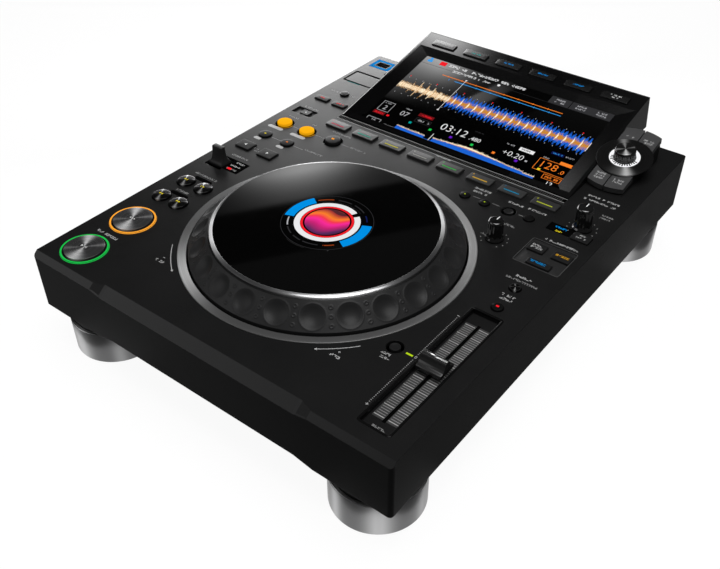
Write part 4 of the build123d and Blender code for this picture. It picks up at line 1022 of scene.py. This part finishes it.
def faderCap():
    # a saddle section carried across: hollow slopes in front and behind, a flat ridge with a pale line
    v = faderValues
    half = softCorners([(8.0, 86.9), (8.0, 88.9), (7.4, 89.5), (5.4, 89.9), (3.9, 91.2), (3.0, 93.2), (2.4, 95.2),
                        (1.9, 95.9), (1.2, 96.0)], 0.5)
    section = np.concatenate([half, half[::-1] * (-1, 1)])
    across = np.array([-9.5, -9.35, -8.9, 8.9, 9.35, 9.5])[:, None]
    shrink = np.array([0.9, 0.975, 1.0, 1.0, 0.975, 0.9])[:, None]
    lift = np.array([0.5, 0.12, 0, 0, 0.12, 0.5])[:, None]
    y = v["y"] + section[None, :, 0] * shrink
    z = np.minimum(section[None, :, 1], v["top"] - lift)
    x = np.broadcast_to(v["x"] + across, y.shape)
    shape = Shape()
    shape.grid(np.stack([x, y, z], -1)[:, ::-1], ends="first last")
    shape.grid(capGrid(0.8, 5.0, 0.2, [(0.0, v["stemLow"]), (0.0, v["stemTop"])], (v["x"], v["y"])))
    shape.row(v["x"], v["y"], 18.2, 1.5, v["top"] + 0.02, 1)
    shape.make("tempoFaderCap", [faderPlastic, ridgeMetal], "tempo_fader", ["tempo_fader"], "key_black", sharp=32)


def directionLever():
    # a paddle with hollow flanks that spread toward the deck, and a flat top with a small rolled edge
    v, r = leverValues, leverValues["corner"]
    z = np.array([-4.0, -1.5, 0.0, 1.2, 2.6, 4.4, 7.0, 10.0, 13.0, 14.4, 14.85, 15.0])[:, None]
    halfX = np.array([5.6, 7.2, 7.3, 6.9, 6.4, 6.0, 5.75, 5.55, 5.45, 5.4, 5.2, 4.7])[:, None]
    halfY = np.array([3.6, 5.8, 6.0, 5.2, 4.4, 3.7, 3.1, 2.75, 2.55, 2.5, 2.3, 1.8])[:, None]
    turn, sideX, sideY = corners(6)
    x = v["x"] + sideX * (halfX - r) + r * np.cos(turn)
    y = v["y"] + sideY * (halfY - r) + r * np.sin(turn)
    shape = Shape()
    shape.grid(np.stack([x, y, np.broadcast_to(z, x.shape)], -1), 0, deckMatrix, ends="first last")
    shape.make("directionPaddle", [leverPlastic], "direction_lever", ["direction_lever"], "key_black", sharp=45)


faderCap()
directionLever()
print("fader and lever made")

screenValues = {
    "height": -3.46, "left": -98.9, "right": 98.9, "middleY": 62.15, "width": 197.8, "depth": 106.1,
    "waveMiddle": 67.3, "split": -42.0, "columns": 900, "beat": 7.55, "playX": -43.4, "viewY": 9.9, "viewColumns": 620,
}


def screenPicture():
    v = screenValues
    h, m = v["height"], faceMatrix
    rng = np.random.default_rng(11)
    shape = Shape()
    finishes = [screenGlass, lampTabGrey, lampBlueWave, lampGold, lampCream, lampOrange, lampWhite, lampPale, lampRed,
                lampTeal, lampGreen, lampViolet, lampYellow, lampDimGrey, lampSky, lampDeepRed, lampNavy]
    (black, tab, blue, gold, cream, orange, white, pale, red,
     teal, green, violet, yellow, dim, sky, deepRed, navy) = range(len(finishes))

    def bar(x, y, width, depth, lift, mark, keep=slice(None)):
        shape.row(x, y, width, depth, h + lift, mark, m, keep)

    bar(0, v["middleY"], v["width"], v["depth"], -0.02, black)
    # three tabs, the title's dots and icons
    for x in (48.2, 68.8, 88.6):
        bar(x, 110.2, 19.8, 10.0, 0, tab)
    bar(0, 104.9, v["width"], 0.3, 0, dim)
    for x, y, mark in ((-12.9, 106.2, white), (-92.0, 113.4, sky)):
        shape.disc((x, y), 1.5, h + 0.02, mark, matrix=m)
    bar(-92.0, 110.0, 5.2, 3.2, 0.02, sky)
    bar(-77.5, 111.2, 7.0, 5.6, 0.02, red)
    # phase lines with their ticks
    bar(-5.3, 96.4, 127.0, 0.75, 0.02, orange)
    bar(2.8, 92.7, 111.0, 0.7, 0.02, sky)
    ticks = np.arange(-62, 58, v["beat"] * 2)
    bar(ticks, 96.4, 0.5, 2.2, 0.03, orange)
    bar(ticks + 3, 92.7, 0.5, 2.2, 0.03, sky)
    # main waveform: mirrored columns whose height swells with each beat
    x = np.linspace(v["left"] + 0.3, v["right"] - 0.3, v["columns"])
    width = (x[1] - x[0]) * 0.96
    late = x > v["split"]
    pulse = np.exp(-((x / v["beat"]) % 1) * 3.2)
    rough = rng.random(v["columns"])
    outer = 5.0 + 6.0 * np.abs(np.sin(x * 0.83)) ** 1.4 * rough ** 0.35 + 1.4 * rough
    middle = 1.4 + 4.6 * rough ** 1.8 + 1.4 * pulse
    beats = np.exp(-((x / v["beat"] + 0.3) % 1) * 5.5) * (0.55 + 0.45 * np.sin(x * 0.7))
    early = 2.0 + 3.0 * rough + 8.5 * beats * (rough > 0.25)
    core = np.where(late, 0.5 + 10.0 * pulse ** 3 * (0.5 + 0.5 * rough), early)
    for reach, lift, mark, keep in ((outer, 0.02, blue, late), (middle, 0.04, gold, late),
                                    (core, 0.06, cream, late & (pulse > 0.55) | ~late),
                                    (early * 0.95, 0.07, gold, ~late & (rough > 0.72))):
        bar(x, v["waveMiddle"], width, 2 * reach, lift, mark, keep)
    marks = np.arange(v["left"] + 4, v["right"] - 2, v["beat"])
    bar(marks, 79.5, 0.5, 1.2, 0.02, pale)
    bar(marks, 54.9, 0.5, 1.2, 0.02, pale)
    bar(marks[::4], 81.5, 1.0, 1.5, 0.03, red)
    # playing line with its two arrow heads
    bar(v["playX"], 74.6, 0.42, 49.0, 0.08, white)
    for y, way in ((96.8, 1), (52.4, -1)):
        head = [(v["playX"], y), (v["playX"] + 1.2 * way, y + 2.4 * way), (v["playX"] - 1.2 * way, y + 2.4 * way)]
        shape.polygon(head, h + 0.08, white, m)
    # boxes round the numbers, and the lit plates
    for x, y, width, depth, mark in (
            (-88.5, 32.5, 12.0, 13.6, pale), (-88.2, 11.6, 14.4, 5.6, pale), (-45.5, 29.8, 15.8, 5.6, dim),
            (85.2, 29.8, 30.0, 14.5, orange), (90.6, 18.2, 16.0, 5.2, orange)):
        shape.frame(x, y, width, depth, 0.45, h + 0.02, mark, m)
    for x, y, width, depth, lift, mark in (
            (-89.5, 22.4, 12.5, 4.2, 0.02, deepRed), (-79.6, 22.4, 2.6, 2.2, 0.02, red),
            (-46.8, 37.2, 15.8, 4.4, 0.02, deepRed), (61.6, 27.2, 2.2, 1.8, 0.03, pale),
            (55.8, 38.9, 14.0, 4.2, 0.02, white), (93.0, 38.6, 11.0, 4.0, 0.02, orange),
            (80.6, 47.2, 11.4, 3.4, 0.02, navy)):
        bar(x, y, width, depth, lift, mark)
    for x0, x1, y, letter, lift, mark, seed in (
            (43.8, 52.6, 112.0, 2.2, 0.02, pale, 70), (43.4, 53.0, 108.6, 2.2, 0.02, pale, 80),
            (64.4, 73.2, 112.0, 2.2, 0.02, pale, 71), (64.0, 73.6, 108.6, 2.2, 0.02, pale, 81),
            (84.2, 93.0, 112.0, 2.2, 0.02, pale, 72), (83.8, 93.4, 108.6, 2.2, 0.02, pale, 82),
            (-71, 12, 111.5, 3.6, 0.02, white, 5), (-63, -19, 105.4, 3.2, 0.02, white, 6),
            (-92.5, -84.5, 37.2, 1.6, 0.03, pale, 31), (-70.5, -63.5, 38.6, 1.5, 0.03, pale, 32),
            (-94.5, -85.0, 22.4, 2.4, 0.03, red, 33), (-53.5, -40.5, 37.2, 2.2, 0.03, red, 34),
            (-52.2, -38.6, 29.8, 2.4, 0.03, pale, 35), (3.0, 12.4, 40.4, 1.6, 0.03, dim, 36),
            (35.8, 43.8, 39.6, 1.7, 0.03, pale, 37), (50.5, 61.0, 38.9, 2.2, 0.04, black, 38),
            (71.6, 77.6, 39.0, 1.6, 0.03, pale, 39), (84.6, 96.6, 18.2, 2.4, 0.03, orange, 40),
            (88.0, 96.0, 47.4, 1.8, 0.03, pale, 41), (76.0, 85.0, 47.2, 1.7, 0.03, sky, 42),
            (88.4, 94.8, 15.0, 1.4, 0.03, dim, 43)):
        words(shape, x0, x1, y, letter, h + lift, mark, m, seed)
    for string, x, y, size, mark, bold in (
            ("2", -88.5, 30.6, 8.4, pale, 0), ("07", -67.0, 31.0, 9.0, pale, 0), ("16", -88.2, 11.6, 5.2, pale, 0),
            ("03:12", -13.8, 32.4, 12.6, white, -0.12), (".480", 9.0, 30.6, 6.6, white, 0),
            ("+0.20", 48.0, 28.8, 9.0, white, -0.1), ("128", 81.0, 30.2, 11.8, orange, -0.12),
            (".0", 94.2, 28.2, 6.6, orange, 0), ("12", 91.6, 11.4, 6.6, white, 0)):
        shape.digits(string, x, y, size, h + 0.03, mark, m, bold)
    # whole-track view: a blue body under a pale ridge
    span = np.linspace(-76.0, 77.0, v["viewColumns"])
    low, width = v["viewY"], span[1] - span[0]
    swell = 5.2 + 1.3 * np.sin(span * 0.055 + 0.8) + 1.0 * rng.random(len(span))
    swell *= np.where(span < -64, 0.16, 1) * np.where(span > 66, 0.72, 1)
    swell *= np.where((span > -33) & (span < -25), 0.3, 1)
    bar(span, low + swell / 2, width, swell, 0.02, blue)
    ridge = (0.5 + 1.5 * rng.random(len(span)) ** 3 + 1.5 * np.exp(-((span - 12) / 18) ** 2)) * (swell > 2)
    bar(span, low + swell + ridge / 2, width, ridge, 0.03, cream)
    bar(span, low + swell, width, ridge * 0.7, 0.04, gold, slice(None, None, 2))
    bar(span, low + 0.6, width, 1.0, 0.05, pale, span < -64)
    for x, mark in ((-55.4, teal), (-33.6, green), (-11.7, violet), (10.1, green), (31.9, orange), (54.0, violet),
                    (75.7, yellow)):
        bar(x, 23.6, 2.7, 2.7, 0.02, mark)
    for x, mark in ((-27.0, orange), (8.0, red), (30.0, red), (-60.0, pale)):
        shape.polygon([(x, 9.6), (x - 1.0, 7.9), (x + 1.0, 7.9)], h + 0.02, mark, m)
    bar(-27.4, 15.0, 0.6, 11.0, 0.06, white)
    shape.make("screenPicture", finishes, "player", (), "screen_dark")


screenPicture()
print("screen picture made")

# prints and small lights on the deck

printValues = {
    # lines of blocks: left, right, y, letter height, tone
    "words": [(-149.0, -126.7, -178.0, 2.6, 0), (-149.5, -125.5, -75.0, 2.4, 1), (-143.5, -130.2, -102.2, 2.4, 1),
              (-146.0, -128.2, -35.4, 2.4, 1), (-153.0, -141.6, 45.8, 2.2, 1), (-124.7, -118.8, 46.0, 2.2, 1),
              (-153.6, -136.0, 69.0, 2.2, 1), (-155.2, -145.2, 109.4, 2.0, 1), (-132.6, -127.0, 110.6, 2.0, 1),
              (-101.8, -82.5, 8.2, 2.4, 1), (-72.6, -55.8, 34.6, 2.4, 1), (-103.0, -82.0, 47.6, 2.4, 1),
              (-138.4, -129.6, -16.4, 2.0, 1), (-137.4, -130.6, -19.4, 2.0, 1), (47.4, 62.4, 46.8, 2.6, 0),
              (48.6, 61.4, 42.0, 2.6, 0), (79.6, 92.8, 45.2, 2.6, 0), (96.8, 112.6, 46.2, 2.6, 0),
              (92.2, 101.8, 16.8, 2.4, 1), (125.2, 152.4, 92.6, 2.5, 0), (124.4, 151.6, 86.6, 2.5, 0),
              (146.8, 156.6, 72.6, 2.2, 1), (146.8, 155.4, 68.8, 2.2, 1), (126.6, 154.2, 18.6, 2.4, 0),
              (131.8, 144.5, -33.2, 2.6, 0), (126.3, 151.4, -38.0, 2.2, 1), (131.7, 145.0, -57.0, 2.6, 0),
              (132.7, 144.8, -61.2, 2.6, 0), (102.8, 112.0, -154.6, 2.3, 0), (103.8, 111.8, -158.4, 2.3, 0),
              (-86.2, -78.0, -176.2, 2.6, 0), (78.2, 86.2, -176.4, 2.6, 0), (-6.4, 8.6, 69.2, 2.2, 0)],
    # plates under the loop keys: middle, width, depth
    "plates": [(-148.1, 21.8, 16.8, 4.0), (-122.0, 21.8, 16.8, 4.0), (-148.1, -1.8, 7.9, 3.6),
               (-122.1, -1.8, 7.9, 3.6)],
    # lines that join the keys to their words
    "joins": [(-133.4, 6.6, 11.8, 0.4), (-108.0, 6.6, 10.6, 0.4), (-133.2, 32.4, 6.4, 0.4), (-105.4, 33.0, 9.4, 0.4),
              (-78.6, 34.2, 9.0, 0.4), (56.4, 34.6, 6.4, 0.4), (74.0, 34.8, 6.4, 0.4), (97.0, 33.8, 3.8, 0.4)],
    # signs at the turning arrows and at the ends of the tempo scale
    "signs": [(-82.2, -171.6, 1.8, 0.45), (82.2, -171.8, 1.8, 0.45), (82.2, -171.8, 0.45, 1.8),
              (123.7, -196.8, 1.9, 0.5), (123.7, -196.8, 0.5, 1.9), (123.7, -95.6, 1.9, 0.5)],
    "arrows": ((218.5, 234.0, 234.0, 1), (-54.0, -40.0, -54.0, -1)), "arrowR": 115.2, "arrowWidth": 0.55,
    "scaleX": 123.7, "zeroY": -146.2, "displayY": 72.9, "displayWidth": 231.0,
}


def deckPrint():
    v, m, h = printValues, deckMatrix, 0.05
    shape = Shape()
    pale, grey, dim, black, white = range(5)
    for n, (x0, x1, y, letter, mark) in enumerate(v["words"]):
        words(shape, x0, x1, y, letter, h, mark, m, 100 + n)
    for x, y, width, depth in v["plates"]:
        plate = capGrid(width / 2, depth / 2, depth / 2 - 0.05, [(0.0, 0.02), (0.12, 0.07)], (x, y))
        shape.grid(plate, pale, m, ends="last")
    shape.bars(v["joins"], h, grey, m)
    shape.bars(v["signs"], h, pale, m)
    # turning arrows beside the wheel
    for start, end, tip, way in v["arrows"]:
        shape.arc(jogCentre, v["arrowR"], v["arrowR"] + v["arrowWidth"], start, end, h, pale, 24, m)
        reach = np.array([cos(radians(tip)), sin(radians(tip))])
        onward = np.array([-reach[1], reach[0]]) * way
        c = jogCentre + reach * (v["arrowR"] + 0.3)
        shape.polygon([c + onward * 2.0, c - reach * 1.1, c + reach * 1.1][::way], h, pale, m)
    # tempo scale
    y = np.linspace(-194.2, -98.0, 61)
    shape.row(v["scaleX"], y, 0.7, 0.7, h, grey, m, np.abs(y - v["zeroY"]) > 2.6)
    shape.digits("0", 124.0, v["zeroY"], 3.6, h, pale, m)
    # the dark ribbed strip in front of the display, whose black is painted shade in a groove and whose two pale edge
    # lines are painted highlights of the step edges, and the line before it with a gap for the words
    y, width = v["displayY"], v["displayWidth"]
    shape.row(0, y, width, 5.6, 0.03, black, m)
    shape.row(0, [y - 2.8, y + 2.8], width, 0.4, 0.06, pale, m)
    shape.row(np.arange(-114.0, 114.0, 1.9), y, 0.5, 4.6, h, dim, m)
    shape.row([-62.0, 64.0], y - 5.0, 105.0, 0.3, h, dim, m)
    # dots round the two knobs
    turn = np.radians(np.linspace(-50, 230, 11))
    for x, y, r in ((96.5, -4.8, 10.4), (142.7, 47.0, 11.4)):
        shape.row(x + r * np.cos(turn), y + r * np.sin(turn), 0.65, 0.65, h, pale, m)
    shape.row(86.6, -4.6, 4.6, 0.4, h, grey, m)
    # black bars behind the search keys, and the direction window
    for x, y, halfX, halfY, corner, rise in (
            (-135.6, -80.4, 9.5, 2.1, 2.0, 0.06), (-135.6, -107.0, 9.5, 2.1, 2.0, 0.06),
            (-129.0, -49.0, 8.5, 8.5, 0.6, 0.05)):
        shape.grid(capGrid(halfX, halfY, corner, [(0.0, 0.02), (0.1, rise)], (x, y)), black, m, ends="last")
    for i in range(3):
        words(shape, -135.0, -124.0, -43.6 - i * 5.2, 2.2, 0.09, pale if i < 2 else grey, m, 150 + i)
    # frame of the card door, painted shade in the gaps round the keys, plus sign of the beat keys
    shape.frame(-142.0, 145.8, 36.2, 21.8, 2.1, 0.04, black, m)
    for x, y, radius, gap in keyGapShade:
        shape.arc((x, y), radius - 0.3, radius + gap, 0, 360, 0.03, black, 49, m)
    shape.bars([(-144.8, 60.0, 2.2, 0.6), (-144.8, 60.0, 0.6, 2.2)], 0.03, white, m)
    shape.make("deckPrint", [inkPale, inkGrey, inkDim, slotBlack, inkWhite], "player", (), "body_black")


def faderScale():
    # the ridged plates on both sides of the slot, at the bottom of the recess
    floor = deckTop - 4.0
    y = -196.9 + np.arange(51) * 2.03
    strong = np.arange(51) % 5 == 0
    shape = Shape()
    for x0, x1 in ((129.7, 136.4), (140.4, 148.0)):
        shape.row((x0 + x1) / 2, y, x1 - x0, 0.5, floor + 0.06, 1, keep=~strong)
        shape.row((x0 + x1) / 2, y, x1 - x0 + 0.9, 0.6, floor + 0.06, 0, keep=strong)
    shape.bars([(133.0, -146.1, 8.4, 105.5), (144.2, -146.1, 9.2, 105.5)], floor + 0.03, 2)
    shape.row(138.4, -146.0, 2.5, 108.2, floor + 0.04, 3)
    words(shape, 134.0, 144.0, -205.6, 2.4, floor + 0.06, 1, None, 160)
    shape.make("faderScale", [inkPale, inkGrey, faderPlate, slotBlack], "player", (), "body_black")


def housingLines():
    # a painted highlight on the edge along the left of the display housing, and a dim line above the screen
    shape = Shape()
    shape.row(-115.05, 73.0, 0.8, 143.0, 0.03, 0, faceMatrix)
    shape.row(0, 146.2, 228.0, 0.45, 0.03, 1, faceMatrix)
    shape.make("housingEdge", [inkPale, inkDim], "player", (), "body_black")


def panels():
    # the paler floor of the sunk panel with its thin frame, and the rolled lip of the fader recess
    x, y, halfX, halfY = 138.0, -1.7, 18.2, 16.0
    shape, m = Shape(), deckMatrix
    shape.grid(capGrid(halfX, halfY, 1.5, [(0.0, -0.5), (0.3, -0.42)], (x, y)), 0, m, ends="first last")
    line = [(0.0, 0.0), (0.0, 0.08), (0.45, 0.08), (0.45, 0.0), (0.0, 0.0)]
    shape.grid(capGrid(halfX + 0.5, halfY + 0.5, 2.0, line, (x, y)), 1, m)
    shape.make("syncPanelFloor", [panelPaint, inkDim], "player", (), "body_black")
    lip = [(0.0, -0.1), (0.0, 0.15), (0.5, 0.45), (1.3, 0.45), (1.9, 0.1), (2.0, -1.2), (1.7, -1.2), (1.5, -0.1),
           (0.0, -0.1)]
    frame = Shape()
    frame.grid(capGrid(12.7, 65.0, 2.6, softCorners(lip, 0.2), (138.4, -146.0)), 0, m)
    frame.make("faderFrame", [doorGloss], "player", (), "body_black", sharp=40)


def smallLights():
    m, shape = deckMatrix, Shape()
    finishes = [lampLime, lampRed, lampTealDim, lampPort, lampBlue, lampYellow, slotBlack, lampPortDeep]
    lime, red, teal, port, blue, yellow, black, deepPort = range(len(finishes))
    # zero of the tempo scale, direction light, card light, mode window
    for x, y, width, depth, height, mark in (
            (119.2, -146.3, 5.2, 1.5, 0.05, lime), (-131.6, -54.0, 4.2, 2.6, 0.1, red),
            (-147.0, 133.6, 15.0, 0.8, 0.06, teal), (130.2, 35.9, 20.4, 10.9, -0.42, black)):
        shape.row(x, y, width, depth, height, mark, m)
    # glow round the memory socket
    for width, depth, line, mark in ((18.9, 14.0, 3.0, port), (22.4, 17.4, 0.5, deepPort)):
        shape.frame(-147.6, 182.6, width, depth, line, 0.05, mark, m, over=line)
    words(shape, 124.8, 134.8, 38.2, 2.5, -0.38, blue, m, 170)
    words(shape, 127.2, 134.2, 33.4, 2.4, -0.38, yellow, m, 171)
    shape.make("deckLights", finishes, "player", (), "screen_dark")


deckPrint()
faderScale()
panels()
housingLines()
smallLights()
print("prints made")

for node, finish in {"top_cover": deckPaint, "bottom_cover": baseSteel, "display_housing": housingPaint,
                     "display_screen": screenGlass, "sockets": socketPlastic, "circuit_boards": boardGreen,
                     "card_door": doorGloss}.items():
    dress(node, finish)
print("frame dressed")

# the floor, the lights and the camera

lightValues = {
    "top": 18.0, "topPlace": (0.3, -0.15, 1.35), "topAim": (0.0, -0.02, 0.08), "topSize": 1.0,
    "front": 3.5, "frontPlace": (-1.0, -1.05, 0.92), "frontAim": (0.0, -0.2, 0.08), "frontSize": 1.0, "world": 0.05,
}
# floorTone is what the camera sees, floorBase what every ray sees; wallX and wallY are where the mirrors of the
# walls begin, and the rear right foot is bright only from footLeft on
floorValues = {
    "radius": 9000.0, "tone": 0.22, "base": 0.09, "show": 0.75, "glow": 1.25, "mirror": 0.05, "footMirror": 0.68,
    "footReach": 0.062, "footEdge": 120.0, "wallX": 0.174, "wallY": -0.242, "footLeft": 0.116, "footY": 0.1,
}
cardValues = {
    "left": (-0.33, 0.06), "right": (-0.13, 0.36), "low": 0.085, "high": 0.40, "before": 0.2, "beyond": 0.15,
    "least": 0.012, "level": 3.0, "lift": 6.6, "liftZ": 0.12, "liftFall": 22.0, "middle": 0.135, "width": 0.059,
    "shoulderZ": 0.284, "widen": 0.85, "lean": 0.45, "fade": 60.0, "wideAt": 0.16, "wideHalf": 0.12, "wide": 0.2,
    "sideAt": 0.29, "sideHalf": 0.037, "sideZ": 0.235, "sideFade": 0.04, "side": 5.5, "cornerAt": 0.285,
    "cornerHalf": 0.044, "cornerFrom": 0.293, "cornerLow": 0.3215, "cornerHigh": 0.343, "corner": 2.5,
    "cutZ": 0.327, "cutHeight": 0.006,
}
cameraValues = {
    "place": (0.3492, -0.4890, 0.4771), "aim": (0.03753, -0.08249, 0.060), "lens": 44.25, "sensor": 36.0,
    "shiftX": -0.0123, "shiftY": 0.0045, "clipEnd": 50.0,
}


def aim(thing, position, target):
    thing.location = position
    thing.rotation_euler = (Vector(target) - Vector(position)).to_track_quat("-Z", "Y").to_euler()
    return thing


def floor():
    # a large disc; the camera sees it nearly white, and it keeps the shadow
    v = floorValues
    finish = Finish("floorPaper")
    rays = finish.outputs("ShaderNodeLightPath")
    tone = rays["Is Camera Ray"] * v["tone"] + v["base"]
    finish.use(base=finish.node("ShaderNodeCombineColor", {}, {0: tone, 1: tone, 2: tone}), rough=0.9, level=0.0)
    # mirrors see the paper bright close round each foot and darker further out, and under the walls' mirrors
    x, y, z = finish.axes()
    awayX = x.size() - footValues["x"] * mm
    awayY = (y - footMiddle).size() - footHalf
    away = (awayX * awayX + awayY * awayY) ** 0.5
    near = ((v["footReach"] - away) * v["footEdge"]).atLeast(0.0).atMost(1.0)
    under = (x < v["wallX"]) * (y > v["wallY"]) * (1.0 - (x > 0.0) * (x < v["footLeft"]) * (y > v["footY"]))
    mirror = near * under * v["footMirror"] + v["mirror"]
    other = rays["Is Glossy Ray"] + rays["Is Transmission Ray"]
    seen = rays["Is Camera Ray"] * v["show"] + other * mirror
    glow = finish.node("ShaderNodeEmission", {}, {0: (1, 1, 1), 1: v["glow"]})
    paper = Signal(finish, finish.shader.outputs[0])
    finish.show("Material Output", finish.node("ShaderNodeMixShader", {}, {0: seen, 1: paper, 2: glow}))
    disc = Shape().disc((0, 0), v["radius"], -0.2, 0, 96)
    place("floor", disc.mesh("floor", [finish.material]))


def areaLight(name):
    v = lightValues
    light = bpy.data.lights.new(name + "Light", "AREA")
    light.energy, light.size = v[name], v[name + "Size"]
    aim(place(name + "Light", light), v[name + "Place"], v[name + "Aim"]).visible_camera = False


def sideCard():
    # a lit card behind the left rear corner, which the deck and the plate reflect; along its length the light
    # swells and fades like a bell, wider toward the floor, and above the shoulder it dies away
    v = cardValues
    first, last = Vector(v["left"]), Vector(v["right"])
    onward = (last - first).normalized()
    ends = (first - onward * v["before"], last + onward * v["beyond"])
    mesh = bpy.data.meshes.new("sideCard")
    mesh.from_pydata([(*ends[0], v["low"]), (*ends[1], v["low"]), (*ends[1], v["high"]), (*ends[0], v["high"])], [],
                     [(0, 1, 2, 3)])
    finish = Finish("cardGlow")
    x, y, z = finish.axes()
    along = (x - first.x) * onward.x + (y - first.y) * onward.y
    below = (v["shoulderZ"] - z).atLeast(0.0)
    above = (z - v["shoulderZ"]).atLeast(0.0)
    bell = ((along - (below * v["lean"] + v["middle"])) / (below * v["widen"] + v["width"])).bell()
    lift = ((z - v["liftZ"]) * -v["liftFall"]).rise() * v["lift"]
    wide = ((along - v["wideAt"]) / v["wideHalf"]).bell() * v["wide"]
    side = ((along - v["sideAt"]) / v["sideHalf"]).bell()
    side = side * ((z - v["sideZ"]).atLeast(0.0) / v["sideFade"]).bell() * v["side"]
    corner = ((along - v["cornerAt"]) / v["cornerHalf"]).bell() * (along > v["cornerFrom"])
    corner = corner * (z > v["cornerLow"]) * (z < v["cornerHigh"]) * v["corner"]
    cut = ((v["cutZ"] - z) / v["cutHeight"]).atLeast(0.0).atMost(1.0)
    strength = ((lift + v["level"]) * bell * (above * -v["fade"]).rise() + wide + side) * cut + corner + v["least"]
    finish.show("Material Output", finish.node("ShaderNodeEmission", {}, {1: strength}))
    mesh.materials.append(finish.material)
    card = place("sideCard", mesh)
    card.visible_camera = card.visible_shadow = False


def world():
    studio = bpy.data.worlds.new("studio")
    bpy.context.scene.world = studio
    studio.use_nodes = True
    graph = Graph(studio.node_tree)
    soft = graph.node("ShaderNodeBackground", {}, {0: (1, 1, 1), 1: lightValues["world"]})
    plain = graph.node("ShaderNodeBackground", {}, {0: (1, 1, 1)})
    camera = graph.outputs("ShaderNodeLightPath")["Is Camera Ray"]
    graph.show("World Output", graph.node("ShaderNodeMixShader", {}, {0: camera, 1: soft, 2: plain}))


def camera():
    v = cameraValues
    lens = bpy.data.cameras.new("camera")
    lens.lens, lens.sensor_width, lens.clip_end = v["lens"], v["sensor"], v["clipEnd"]
    lens.shift_x, lens.shift_y = v["shiftX"], v["shiftY"]
    bpy.context.scene.camera = aim(place("camera", lens), v["place"], v["aim"])


floor()
areaLight("top")
areaLight("front")
sideCard()
world()
camera()
bpy.context.scene.view_settings.view_transform = "Standard"
print("lights and camera set")
